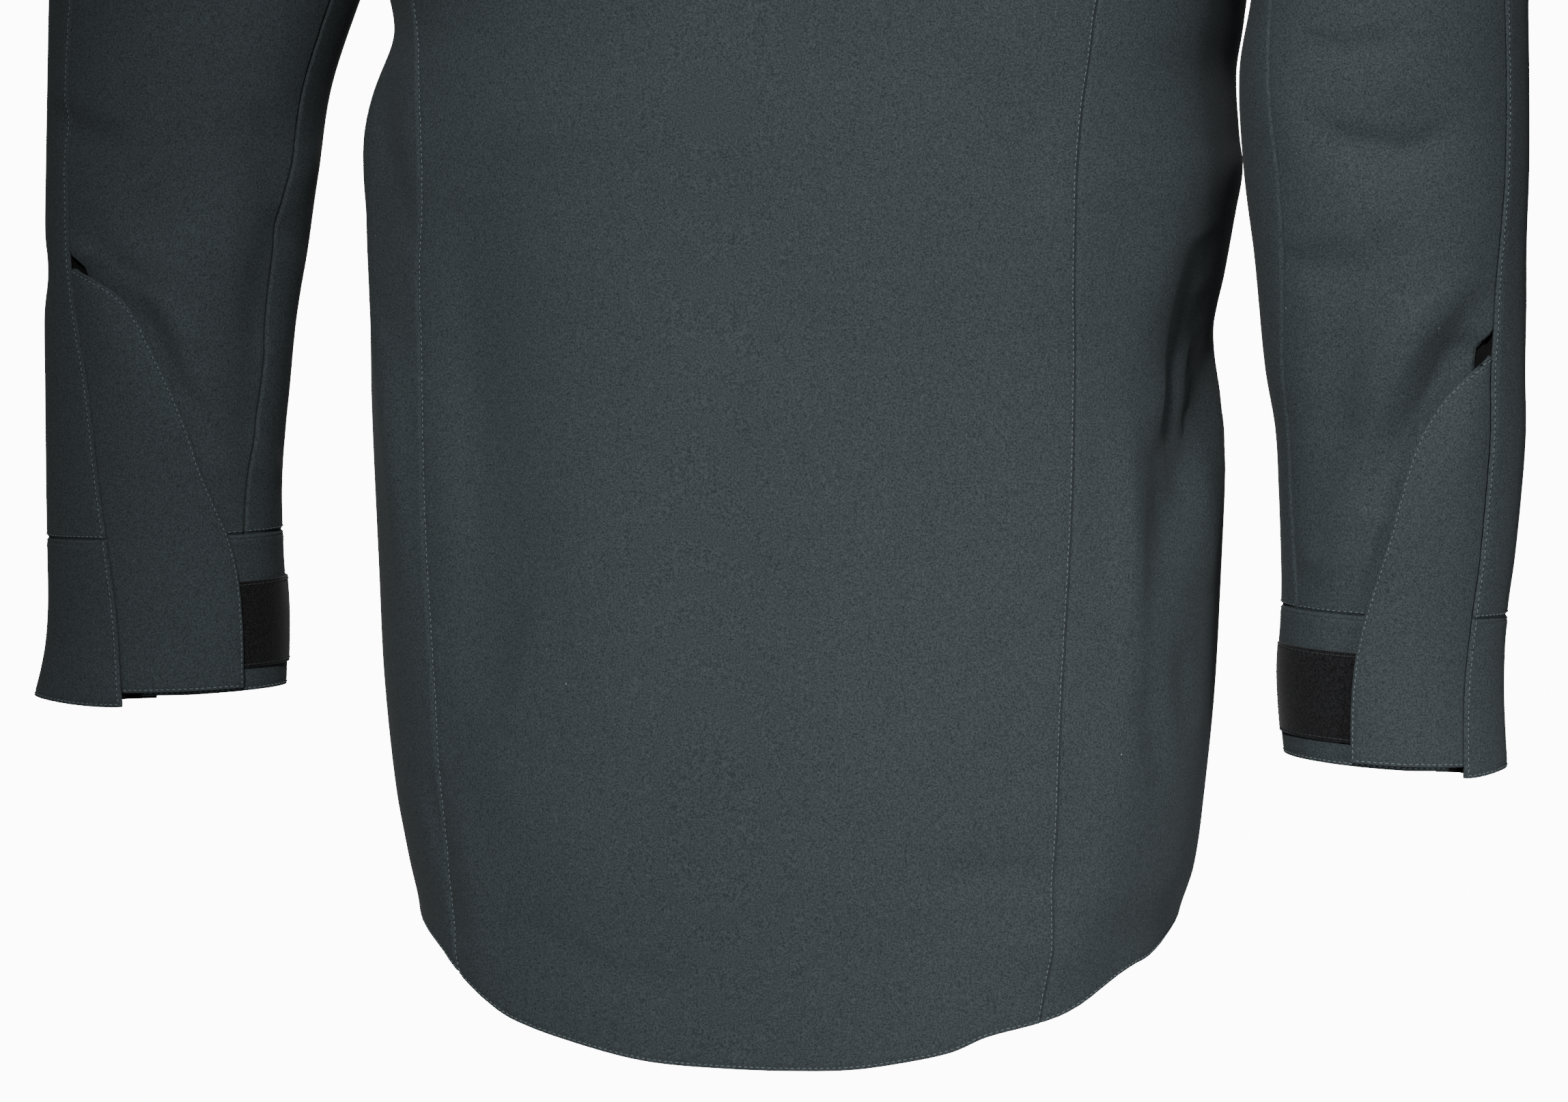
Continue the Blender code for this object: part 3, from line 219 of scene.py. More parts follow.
# from the flap's free edge in degrees, then bottom and top above the cuff hem
PATCHES = {"left": (-11.0, 70.0, 0.0140, 0.0640), "right": (-11.0, 62.0, 0.0130, 0.0620)}
# side, degrees round, height, reach round, reach up and down, lean (degrees per metre), depth
SLEEVE_FOLDS = (
    ("left", 95.0, -0.395, 15.0, 0.022, 0.0, -0.0035),
    ("left", 118.0, -0.480, 14.0, 0.060, -160.0, 0.0045),
    ("left", 84.0, -0.430, 12.0, 0.030, -600.0, -0.0040),
    ("left", 10.0, -0.425, 16.0, 0.014, 0.0, -0.0040),
    ("left", 150.0, -0.460, 12.0, 0.060, -40.0, -0.0035),
    ("left", 172.0, -0.365, 16.0, 0.016, 0.0, 0.0030),
    ("left", 300.0, -0.380, 24.0, 0.025, 0.0, -0.0040),
    ("left", 270.0, -0.330, 24.0, 0.025, 0.0, 0.0040),
    ("right", 72.0, -0.345, 26.0, 0.022, 60.0, -0.0035),
    ("right", 108.0, -0.470, 14.0, 0.050, -200.0, -0.0045),
    ("right", 86.0, -0.500, 12.0, 0.055, -300.0, 0.0050),
    ("right", 60.0, -0.470, 12.0, 0.040, -500.0, -0.0040),
    ("right", 120.0, -0.340, 14.0, 0.020, 0.0, 0.0025),
    ("right", 300.0, -0.390, 24.0, 0.025, 0.0, -0.0040),
    ("right", 270.0, -0.340, 24.0, 0.025, 0.0, 0.0040),
)

PATCH_THICK = 0.0010      # loop tape
PATCH_GAP = 0.0003        # between the loop tape and the cuff band
GUSSET_GAP = 0.0008       # between the gusset and the sleeve over it
TILT_HEIGHT = 0.25        # the cuff's tilt has faded out this far above the hem
VENT_ROUND = 0.012        # height over which the vent closes at its top
UNDERARM_BEND = 0.75      # below 1 makes the underarm curve fuller
NECK_BEGINS = 0.6         # share of the height above which rows follow the neck line
BODY_RADIUS = 0.19        # usual radii, which turn degrees into a way round in metres
SLEEVE_RADIUS = 0.065
SIDE_BLEND = 0.004        # a sharp crease changes from its near to its far side over this
FAR_AWAY = 9.0

# Softer folds that only the cloth shows, in the same measures as the tables above
BODY_CREASES = (
    (-33.0, -0.350, 9.0, 0.030, 120.0, -0.0022),
    (20.0, -0.330, 12.0, 0.026, -80.0, 0.0018),
    (41.0, -0.476, 8.0, 0.050, 60.0, -0.0020),
    (4.0, -0.492, 10.0, 0.045, 0.0, 0.0016),
    (-24.0, -0.560, 8.0, 0.080, 40.0, -0.0022),
    (36.0, -0.640, 7.0, 0.045, -90.0, -0.0020),
    (28.0, -0.700, 9.0, 0.030, 60.0, 0.0016),
    (-37.0, -0.745, 9.0, 0.024, 0.0, -0.0022),
    (-52.0, -0.780, 8.0, 0.020, 0.0, 0.0016),
    (150.0, -0.300, 14.0, 0.050, 80.0, -0.0030),
    (-150.0, -0.320, 12.0, 0.060, -60.0, -0.0026),
    (160.0, -0.520, 9.0, 0.070, 40.0, 0.0024),
    (-158.0, -0.560, 10.0, 0.060, -50.0, 0.0022),
    (140.0, -0.660, 9.0, 0.060, 60.0, -0.0026),
    (-138.0, -0.640, 10.0, 0.050, -40.0, -0.0028),
)
SLEEVE_CREASES = (
    ("left", 300.0, -0.480, 16.0, 0.040, 160.0, -0.0030),
    ("left", 330.0, -0.430, 14.0, 0.030, -120.0, 0.0026),
    ("left", 262.0, -0.560, 14.0, 0.030, 100.0, -0.0024),
    ("left", 205.0, -0.470, 12.0, 0.050, 60.0, -0.0026),
    ("right", 300.0, -0.470, 16.0, 0.040, -140.0, -0.0030),
    ("right", 332.0, -0.440, 14.0, 0.028, 120.0, 0.0026),
    ("right", 260.0, -0.580, 14.0, 0.030, -90.0, -0.0024),
    ("right", 208.0, -0.490, 12.0, 0.050, -60.0, -0.0026),
)
# Sharper creases: reach to either side, depth, then the turns and heights they run through
BODY_LINES = (
    (0.016, 0.026, -0.0085, ((-76, -0.400), (-79, -0.448), (-79, -0.485), (-73, -0.520), (-68, -0.575))),
    (0.012, 0.010, 0.0051, ((-60, -0.490), (-60, -0.545), (-60, -0.596), (-63, -0.650))),
    (0.014, 0.020, 0.0045, ((-104, -0.440), (-100, -0.480), (-92, -0.530), (-86, -0.590))),
    (0.018, 0.030, -0.0051, ((38, -0.380), (37, -0.488), (36, -0.556), (35, -0.660))),
    (0.012, 0.020, 0.0039, ((56, -0.360), (58, -0.440), (57, -0.520), (55, -0.610))),
    (0.010, 0.016, -0.0036, ((50, -0.690), (49, -0.730), (48, -0.790))),
    (0.005, 0.014, -0.0039, ((-60, -0.606), (-62, -0.628), (-65, -0.664), (-72, -0.700))),
    (0.006, 0.012, -0.0030, ((-74, -0.615), (-76, -0.645), (-80, -0.668))),
    (0.006, 0.014, -0.0036, ((-84, -0.430), (-88, -0.462), (-89, -0.490), (-85, -0.528))),
    (0.005, 0.010, 0.0027, ((-70, -0.470), (-73, -0.520), (-78, -0.560))),
    (0.008, 0.014, -0.0016, ((-18, -0.742), (-37, -0.734), (-52, -0.748))),
    (0.008, 0.012, 0.0012, ((-30, -0.768), (-51, -0.782), (-62, -0.784))),
    (0.007, 0.015, -0.0033, ((68, -0.318), (62, -0.345), (54, -0.384), (50, -0.410))),
    (0.006, 0.012, -0.0027, ((64, -0.428), (58, -0.458), (61, -0.482))),
    (0.007, 0.016, -0.0027, ((-22, -0.292), (-34, -0.340), (-38, -0.384))),
    (0.008, 0.014, 0.0021, ((8, -0.545), (24, -0.600), (30, -0.668))),
    (0.008, 0.014, -0.0012, ((0, -0.800), (16, -0.792), (30, -0.770))),
    (0.006, 0.014, -0.0042, ((84, -0.540), (96, -0.575), (110, -0.590))),
    (0.007, 0.014, -0.0039, ((-98, -0.560), (-112, -0.590), (-124, -0.598))),
    (0.006, 0.014, -0.0039, ((104, -0.290), (112, -0.330), (126, -0.352))),
    (0.006, 0.014, -0.0039, ((-104, -0.300), (-114, -0.338), (-130, -0.352))),
    (0.008, 0.016, -0.0036, ((168, -0.420), (158, -0.446), (146, -0.452))),
    (0.008, 0.016, -0.0033, ((-166, -0.450), (-154, -0.470), (-142, -0.472))),
    (0.008, 0.016, -0.0033, ((166, -0.640), (152, -0.662), (140, -0.664))),
    (0.008, 0.016, -0.0033, ((-168, -0.610), (-152, -0.628), (-138, -0.622))),
    (0.010, 0.018, -0.0045, ((128, -0.160), (134, -0.200), (136, -0.240))),
    (0.010, 0.018, -0.0042, ((-126, -0.164), (-133, -0.205), (-134, -0.246))),
    (0.010, 0.018, -0.0039, ((52, -0.150), (50, -0.190), (54, -0.236))),
    (0.010, 0.018, -0.0039, ((-54, -0.156), (-51, -0.198), (-56, -0.240))),
)
SLEEVE_LINES = {
    "left": (
        (0.014, 0.020, -0.0044, ((136, -0.330), (142, -0.360), (158, -0.400), (162, -0.470))),
        (0.004, 0.011, 0.0029, ((56, -0.408), (72, -0.418), (87, -0.430), (104, -0.443), (122, -0.468))),
        (0.005, 0.012, -0.0039, ((86, -0.424), (100, -0.455), (112, -0.485), (122, -0.503), (136, -0.530))),
        (0.006, 0.010, -0.0021, ((150, -0.392), (170, -0.402), (188, -0.412))),
        (0.006, 0.010, 0.0023, ((150, -0.512), (166, -0.530), (184, -0.545))),
        (0.007, 0.013, -0.0031, ((30, -0.330), (60, -0.345), (84, -0.352))),
        (0.007, 0.013, -0.0034, ((290, -0.415), (318, -0.440), (344, -0.452))),
        (0.006, 0.013, -0.0036, ((236, -0.450), (262, -0.478), (288, -0.486))),
        (0.006, 0.012, -0.0031, ((248, -0.520), (276, -0.536), (306, -0.532))),
        (0.008, 0.014, -0.0036, ((262, -0.345), (290, -0.372), (320, -0.380))),
    ),
    "right": (
        (0.010, 0.018, -0.0065, ((38, -0.446), (48, -0.455), (62, -0.476), (82, -0.507), (96, -0.545))),
        (0.010, 0.016, -0.0034, ((76, -0.392), (92, -0.412), (120, -0.424))),
        (0.006, 0.012, -0.0039, ((52, -0.340), (74, -0.352), (98, -0.346), (116, -0.334))),
        (0.006, 0.012, -0.0036, ((40, -0.432), (62, -0.452), (80, -0.482), (96, -0.520), (110, -0.548))),
        (0.005, 0.012, 0.0026, ((48, -0.418), (70, -0.436), (90, -0.462), (106, -0.496))),
        (0.006, 0.010, -0.0026, ((70, -0.292), (96, -0.300), (120, -0.296))),
        (0.006, 0.010, -0.0026, ((98, -0.400), (118, -0.412), (136, -0.410))),
        (0.006, 0.010, 0.0021, ((100, -0.560), (120, -0.572), (140, -0.566))),
        (0.007, 0.013, -0.0034, ((288, -0.420), (314, -0.444), (342, -0.450))),
        (0.006, 0.013, -0.0036, ((232, -0.460), (258, -0.486), (286, -0.492))),
        (0.006, 0.012, -0.0031, ((250, -0.545), (278, -0.560), (306, -0.556))),
        (0.008, 0.014, -0.0036, ((264, -0.350), (292, -0.376), (322, -0.384))),
    ),
}


# Shapes of the body and sleeves, worked out for whole arrays of turns and heights
def table_at(table, key, column):
    """A smooth curve through one column of a table, at each of the keys."""
    rows = sorted(table)
    keys = np.array([row[0] for row in rows])
    values = np.array([row[column] for row in rows])
    low = np.maximum(np.arange(len(keys)) - 1, 0)
    high = np.minimum(np.arange(len(keys)) + 1, len(keys) - 1)
    slopes = (values[high] - values[low]) / (keys[high] - keys[low])
    key = np.clip(key, keys[0], keys[-1])
    i = np.clip(np.searchsorted(keys, key, side="right") - 1, 0, len(keys) - 2)
    span = keys[i + 1] - keys[i]
    t = (key - keys[i]) / span
    return ((2 * t**3 - 3 * t**2 + 1) * values[i] + (t**3 - 2 * t**2 + t) * span * slopes[i]
            + (3 * t**2 - 2 * t**3) * values[i + 1] + (t**3 - t**2) * span * slopes[i + 1])


def bump(offset, reach):
    return np.exp(-(offset / reach) ** 2)


def ease(share):
    share = np.clip(share, 0.0, 1.0)
    return share * share * (3 - 2 * share)


def mix(a, b, share):
    return a + (b - a) * share


def power(value, exponent):
    return np.sign(value) * np.abs(value) ** exponent


def fold_height(folds, turn, z):
    """Sum of soft folds: each leans round as it goes up and fades out at its ends."""
    total = 0.0
    for centre, height, reach, tall, lean, depth in folds:
        off = (turn - centre - lean * (z - height) + 180.0) % 360.0 - 180.0
        total = total + depth * bump(off, reach) * bump(z - height, tall)
    return total


def line_height(lines, turn, z, round_by):
    """Sum of creases that run along a line: unequal sides, fading out toward both ends."""
    total = 0.0
    for near, far, depth, spots in lines:
        mid = spots[len(spots) // 2][0]
        along = np.radians((turn - mid + 180.0) % 360.0 - 180.0) * round_by
        ends = [(math.radians(t - mid) * round_by, h) for t, h in spots]
        parts = [math.dist(a, b) for a, b in zip(ends, ends[1:])]
        best = np.full(np.broadcast(along, z).shape, FAR_AWAY)
        share, side, done = np.zeros_like(best), np.zeros_like(best), 0.0
        for (ax, az), (bx, bz), length in zip(ends, ends[1:], parts):
            ux, uz = (bx - ax) / length, (bz - az) / length
            run = np.clip((along - ax) * ux + (z - az) * uz, 0.0, length)
            away = np.hypot(along - ax - run * ux, z - az - run * uz)
            closer = away < best
            best = np.where(closer, away, best)
            share = np.where(closer, (done + run) / sum(parts), share)
            side = np.where(closer, (along - ax) * uz - (z - az) * ux, side)
            done += length
        reach = mix(near, far, ease(0.5 + side / SIDE_BLEND))
        total = total + depth * bump(best, reach) * np.sin(math.pi * share) ** 0.7
    return total


def body_outer(turn, z):
    angle = np.radians(turn)
    sine, cosine = np.sin(angle), np.cos(angle)
    square = table_at(TORSO_RINGS, z, 5)
    wide = np.where(sine > 0, table_at(TORSO_RINGS, z, 1), table_at(TORSO_RINGS, z, 2))
    deep = np.where(cosine > 0, table_at(TORSO_RINGS, z, 3), table_at(TORSO_RINGS, z, 4))
    stand = fold_height(BODY_FOLDS + BODY_CREASES, turn, z)
    stand = stand + line_height(BODY_LINES, turn, z, BODY_RADIUS)
    return np.stack((wide * power(sine, 2 / square) + stand * sine,
                     deep * power(cosine, 2 / square) + stand * cosine, z + 0 * sine), -1)


def turn_of(x, z, front):
    """The turn at which the body is x from the centre."""
    wide = np.where(x > 0, table_at(TORSO_RINGS, z, 1), table_at(TORSO_RINGS, z, 2))
    share = np.minimum(np.abs(x) / wide, 1.0)
    turn = np.degrees(np.arcsin(share ** (table_at(TORSO_RINGS, z, 5) / 2)))
    return np.where(x > 0, 1.0, -1.0) * (180.0 - turn if front else turn)


def hem_height(turn):
    return table_at(HEM_LINE, turn, 1)


def edge_turn(z, side, front):
    """Where a back or front panel ends: its seam, then the armhole, then the shoulder."""
    scye = FRONT_SCYE if front else BACK_SCYE
    wide = table_at(TORSO_RINGS, z, 1 if side > 0 else 2)
    seam = table_at(BODY_SEAMS, z, 2 if front else 1 if side > 0 else 3)
    x = np.where(z >= scye, np.minimum(table_at(ARMHOLE, z, 2 if front else 1), wide), seam)
    return np.where(z >= SHOULDER_TIP[1] - 1e-9, side * 90.0, turn_of(side * x, z, front))


def neck_line():
    """The neck line as turns from the centre back, and how far it drops at each."""
    spots = []
    for front, drop, bend in ((False, NAPE_DROP, 1.0), (True, FRONT_NECK_DROP, 1.3)):
        a = np.radians(np.linspace(0.0, 90.0, 181))
        a = a[::-1] if not front else a
        z = -drop * np.sin(a) ** bend
        spots += list(zip(turn_of(np.maximum(NECK_HALF * np.cos(a), 1e-9), z, front), z))
    spots = sorted(spots)
    return np.array([s[0] for s in spots]), np.array([s[1] for s in spots])


NECK_TURNS, NECK_DROPS = neck_line()


def neck_drop(turn):
    return np.interp(np.abs(turn), NECK_TURNS, NECK_DROPS)


def place(turn, f, base):
    """Turn and height at a share f of the way up from the hem to the neck line."""
    share = np.maximum(0.0, (f - NECK_BEGINS) / (1 - NECK_BEGINS)) ** 1.5
    return turn, hem_height(turn) * (1 - f) + (neck_drop(turn) - base) * share


# Spacing of the points: close at the edges, where seams and folded hems need them
EDGE_STEPS = np.array((0.0, 0.0002, 0.0005, 0.0009, 0.0014, 0.0019, 0.0024, 0.0032, 0.0045,
                       0.0065, 0.0095))


def graded(length, step, low=True, high=True):
    """Shares from 0 to 1 along a length in metres, closer together at the wanted ends."""
    start = list(EDGE_STEPS) if low else [0.0]
    end = list(length - EDGE_STEPS[::-1]) if high else [length]
    count = max(int(round((end[0] - start[-1]) / step)), 1)
    middle = list(np.linspace(start[-1], end[0], count + 1))[1:-1]
    return np.array(start + middle + end) / length


ROW_STEP = 0.0034
COLUMN_STEP = 0.0046
BACK_WIDTH, FRONT_WIDTH, SIDE_WIDTH = 0.42, 0.21, 0.13    # rough widths, for the spacing
SLEEVE_BACK_WIDTH, SLEEVE_FRONT_WIDTH, BAND_WIDTH = 0.15, 0.30, 0.38
FLAP_WIDTH, GUSSET_WIDTH, PATCH_WIDTH, TAPE_WIDTH = 0.055, 0.03, 0.08, 0.015
SEAM_HEIGHT, SCYE_HEIGHT, YOKE_HEIGHT = 0.60, 0.15, 0.066    # the same for heights
HEAD_HEIGHT, COLLAR_HEIGHT = 0.15, 0.058


def edge_rows(side, front):
    """The seam edge of a back or front panel from hem to neck, as turns and heights."""
    turn = side * (120.0 if front else 60.0)
    for _ in range(12):
        turn = edge_turn(hem_height(turn), side, front)
    low = hem_height(turn)
    scye = FRONT_SCYE if front else BACK_SCYE
    z = np.concatenate((mix(low, scye, LOWER), mix(scye, SHOULDER_TIP[1], UPPER[1:]),
                        mix(SHOULDER_TIP[1], 0.0, YOKE[1:])))
    return edge_turn(z, side, front), z


LOWER = graded(SEAM_HEIGHT, ROW_STEP)
UPPER = graded(SCYE_HEIGHT, ROW_STEP, False, False)
YOKE = graded(YOKE_HEIGHT, ROW_STEP, False, True)


def back_places():
    (turn_a, z_a), (turn_b, z_b) = edge_rows(-1, False), edge_rows(1, False)
    u = graded(BACK_WIDTH, COLUMN_STEP)[None, :]
    turn_a, z_a, turn_b, z_b = (v[:, None] for v in (turn_a, z_a, turn_b, z_b))
    f_a, f_b = 1 - z_a / hem_height(turn_a), 1 - z_b / hem_height(turn_b)
    return place(mix(turn_a, turn_b, u), mix(f_a, f_b, u),
                 mix(neck_drop(turn_a), neck_drop(turn_b), u))


def front_places(side):
    turn_a, z_a = (v[:, None] for v in edge_rows(side, True))
    f = 1 - z_a / hem_height(turn_a)
    turn_b = np.full_like(turn_a, side * 179.0)
    for _ in range(5):
        turn_b = turn_of(side * PLACKET_HALF, place(turn_b, f, 0.0)[1], True)
    u = graded(FRONT_WIDTH, COLUMN_STEP)[None, :]
    return place(mix(turn_a, turn_b, u), f, neck_drop(turn_a) * (1 - u))


def side_places(side):
    count = len(LOWER)
    turn_a, z_a = (v[:count, None] for v in edge_rows(side, False))
    turn_b, z_b = (v[:count, None] for v in edge_rows(side, True))
    u = graded(SIDE_WIDTH, COLUMN_STEP)[None, :]
    g = LOWER[:, None]
    turn = mix(turn_a, turn_b, u)
    hem_a, hem_b = hem_height(turn_a), hem_height(turn_b)
    z = mix(z_a, z_b, u) + (hem_height(turn) - mix(hem_a, hem_b, u)) * (1 - g) ** 2
    dip = mix(BACK_SCYE, FRONT_SCYE, u) - UNDERARM
    return turn, z - dip * np.abs(np.sin(math.pi * u)) ** UNDERARM_BEND * g * g


# Sleeves: a turn of 0 is the outer side, 90 the back, 180 the side next to the body
SEAM_INDEX = {"left": (4, 12), "right": (2, 12)}
UNDERARM_INDEX = 13
LOOP = 26
ARMHOLE_LEVELS = (-0.066, -0.070, -0.077, -0.088, -0.102, -0.120, -0.142, -0.165, -0.190)
EDGE_COLUMNS = len(ARMHOLE_LEVELS)      # columns down the back edge and up the front edge
UNDER_END = LOOP - EDGE_COLUMNS
MID_SLEEVE = -0.45                      # height of the point that a sleeve goes round


def side_of(arm):
    return 1.0 if arm == "left" else -1.0


def section(arm, height, column):
    return table_at(SLEEVE_SECTIONS[arm], CUFF_HEM[arm] + height, column)


def sleeve_outer(arm, turn, height):
    side = side_of(arm)
    angle = np.radians(turn)
    sine, cosine = np.sin(angle), np.cos(angle)
    z = CUFF_HEM[arm] + height
    folds = tuple(row[1:] for row in SLEEVE_FOLDS + SLEEVE_CREASES if row[0] == arm)
    stand = fold_height(folds, turn, z)
    stand = stand + line_height(SLEEVE_LINES[arm], turn, z, SLEEVE_RADIUS)
    x = section(arm, height, 1) + side * (section(arm, height, 3) + stand) * cosine
    y = section(arm, height, 2) + (section(arm, height, 4) + stand) * sine
    tilt = CUFF_TILT[arm] * cosine * np.maximum(0.0, 1 - height / TILT_HEIGHT)
    return np.stack((x, y, z - tilt), -1)


def column_turn(arm, height, column, setback=0.0):
    """The turn of a sleeve column, which runs evenly between the sleeve's two seams."""
    outer_seam, inner_seam = section(arm, height, 5), section(arm, height, 6)
    start, end = SEAM_INDEX[arm]
    back = mix(outer_seam + setback, inner_seam, (column - start) / (end - start))
    front = mix(inner_seam, outer_seam + 360.0, (column - end) / (start + LOOP - end))
    return np.where(column <= end, back, front)


def vent_share(arm, height, early=0.0):
    return ease((VENT_HEIGHT[arm] + early - height) / VENT_ROUND)


def vent_push(arm, height, past):
    """How far in the back sleeve lies, at a turn past the outer seam."""
    return VENT_DEPTH * vent_share(arm, height) * (1 - ease((past - VENT_SETBACK) / VENT_EASE))


def armhole(arm, column):
    """Points of the armhole: down its back edge, under the arm and up the front edge."""
    side = side_of(arm)
    column = np.asarray(column, dtype=float) % LOOP
    levels = tuple((float(k), z) for k, z in enumerate(ARMHOLE_LEVELS))
    lowest = float(EDGE_COLUMNS)
    back_z = table_at(levels + ((lowest, BACK_SCYE),), np.clip(column, 0, lowest), 1)
    front_z = table_at(levels + ((lowest, FRONT_SCYE),), np.clip(LOOP - column, 0, lowest), 1)
    u = np.clip((column - EDGE_COLUMNS) / (UNDER_END - EDGE_COLUMNS), 0.0, 1.0)
    turn_a = edge_turn(np.array(BACK_SCYE), side, False)
    turn_b = edge_turn(np.array(FRONT_SCYE), side, True)
    dip = mix(BACK_SCYE, FRONT_SCYE, u) - UNDERARM
    under_z = mix(BACK_SCYE, FRONT_SCYE, u) - dip * np.abs(np.sin(math.pi * u)) ** UNDERARM_BEND
    behind, ahead = column < EDGE_COLUMNS, column > UNDER_END
    turn = np.where(behind, edge_turn(back_z, side, False),
                    np.where(ahead, edge_turn(front_z, side, True), mix(turn_a, turn_b, u)))
    z = np.where(behind, back_z, np.where(ahead, front_z, under_z))
    return body_outer(turn, z)


def leaving_way(column, side):
    """The way the cloth leaves the armhole."""
    level = np.cos(math.pi * column / UNDERARM_INDEX)[..., None]
    flat, down, up = (np.array(v) for v in ((0.95, 0.0, -0.30), (0.90, 0.0, -0.43),
                                            (0.62, 0.0, 0.78)))
    way = np.where(level > 0, mix(flat, down, level**2), mix(flat, up, np.abs(level) ** 3))
    way = way * np.array((side, 1.0, 1.0))
    return way / np.linalg.norm(way, axis=-1, keepdims=True)


def sleeve_grid(arm, columns, heights, set_back):
    """Points of a sleeve panel from the armhole down to the cuff seam."""
    side = side_of(arm)
    top = SLEEVE_TOP - CUFF_HEM[arm]
    start = SEAM_INDEX[arm][0]
    numbers = np.where(columns < start, columns + LOOP, columns)
    turn = column_turn(arm, np.array(top), numbers)
    low = sleeve_outer(arm, turn, np.full_like(turn, top))
    down = sleeve_outer(arm, turn, np.full_like(turn, top - 0.004)) - low
    down = down / np.linalg.norm(down, axis=-1, keepdims=True)
    high = armhole(arm, columns)
    reach = np.linalg.norm(low - high, axis=-1, keepdims=True)
    leave = leaving_way(columns % LOOP, side) * reach * 1.1
    t = graded(HEAD_HEIGHT, ROW_STEP, True, False)[:-1, None, None]
    head = (high * (2 * t**3 - 3 * t**2 + 1) + leave * (t**3 - 2 * t**2 + t)
            + low * (3 * t**2 - 2 * t**3) + down * reach * (t**3 - t**2))
    height = heights[:, None]
    back = VENT_SETBACK * vent_share(arm, height) if set_back else 0.0
    turn = column_turn(arm, height, columns[None, :], back)
    tube = sleeve_outer(arm, turn, height + 0 * turn)
    if set_back:
        push = vent_push(arm, height, turn - section(arm, height, 5))
        tube = tube - grid_normals(tube, sleeve_middle(arm)) * push[..., None]
    return np.concatenate((head, tube), 0)


def sleeve_middle(arm):
    return np.array((SLEEVE_SECTIONS[arm][3][1], SLEEVE_SECTIONS[arm][3][2], MID_SLEEVE))


def grid_normals(points, middle):
    """Outward normals of a grid of points that goes round a middle."""
    across, along = np.gradient(points, axis=1), np.gradient(points, axis=0)
    normals = np.cross(across, along)
    normals = normals / np.maximum(np.linalg.norm(normals, axis=-1, keepdims=True), 1e-12)
    outward = (points - middle) * np.array((1.0, 1.0, 0.0))
    return normals if (normals * outward).sum() > 0 else -normals


def turned_to(edge, grid):
    """The grid with one of its edges (bottom, top, first, last) as its first row."""
    if edge in "fl":
        grid = grid.swapaxes(0, 1)
    return grid[::-1] if edge in "tl" else grid


def turned_back(edge, grid):
    grid = grid[::-1] if edge in "tl" else grid
    return grid.swapaxes(0, 1) if edge in "fl" else grid


def edge_distance(points, edge):
    """How far every point lies from one edge, measured square to it."""
    lines = turned_to(edge, points)
    way = np.gradient(lines[0], axis=0)
    way = way / np.maximum(np.linalg.norm(way, axis=-1, keepdims=True), 1e-12)
    steps = np.linalg.norm(np.cross(way[None], np.diff(lines, axis=0)), axis=-1)
    far = np.concatenate((np.zeros((1, steps.shape[1])), np.cumsum(steps, axis=0)))
    return turned_back(edge, far)


def run_length(line):
    steps = np.linalg.norm(np.diff(line, axis=0), axis=-1)
    return np.concatenate(((0.0,), np.cumsum(steps)))


# Sewing sizes
SHELL = 0.0018            # what the shell measures at a folded edge
SEAM_ROLL = 0.0011        # how deep two sewn edges dive between the panels
ROLL_REACH = 0.0019
STITCH_IN = 0.0024        # topstitching from the seam
HEM_STITCH_IN = 0.0022
STITCH_PITCH = 0.0032
STITCH_LONG = 0.0024
STITCH_HALF = 0.00031
PUCKER = 0.00022          # height of the gathers, then wave, strength and shift of each
PUCKER_WAVES = ((0.0137, 1.0, 1.0), (0.0219, 0.7, 2.3), (0.0391, 0.5, 4.1))
PUCKER_IN = 0.0040        # from the edge to the middle of the gathers
PUCKER_REACH = 0.0070
HEM_PUCKER_REACH = 0.0060
HEM_EVEN = 0.7            # a hem gathers less than a seam
HEM_DENT = 0.00030        # how deep a hem's thread pulls in the cloth
HEM_DENT_REACH = 0.0008
EDGE_STEP_IN = 0.00007    # keeps two sewn edges from touching
# A stitched seam's ridge, thread line and swell: from the seam, reach, height
STITCHED_RELIEF = ((0.0015, 0.0006, 0.00022), (STITCH_IN, 0.0006, -0.00028),
                   (0.0048, 0.0018, 0.00020))
# A stitch is a five-sided bar: along (share of its length), size and rise of its rings
STITCH_SIDES = 5
STITCH_RINGS = ((-0.36, 0.85, 0.00008), (0.0, 1.0, 0.00018), (0.36, 0.85, 0.00008))
STITCH_FLAT = 0.9
STITCH_SINK = 0.00016     # how deep its two ends dive
HOLE_SIDES = 6
HOLE_LONG, HOLE_WIDE, HOLE_RISE = 0.00056, 0.00046, 0.00012


def puckers(along, seed):
    """Uneven little gathers along a stitched edge."""
    return sum(strength * np.sin(along * 2 * math.pi / wave + shift * seed)
               for wave, strength, shift in PUCKER_WAVES) / 1.6


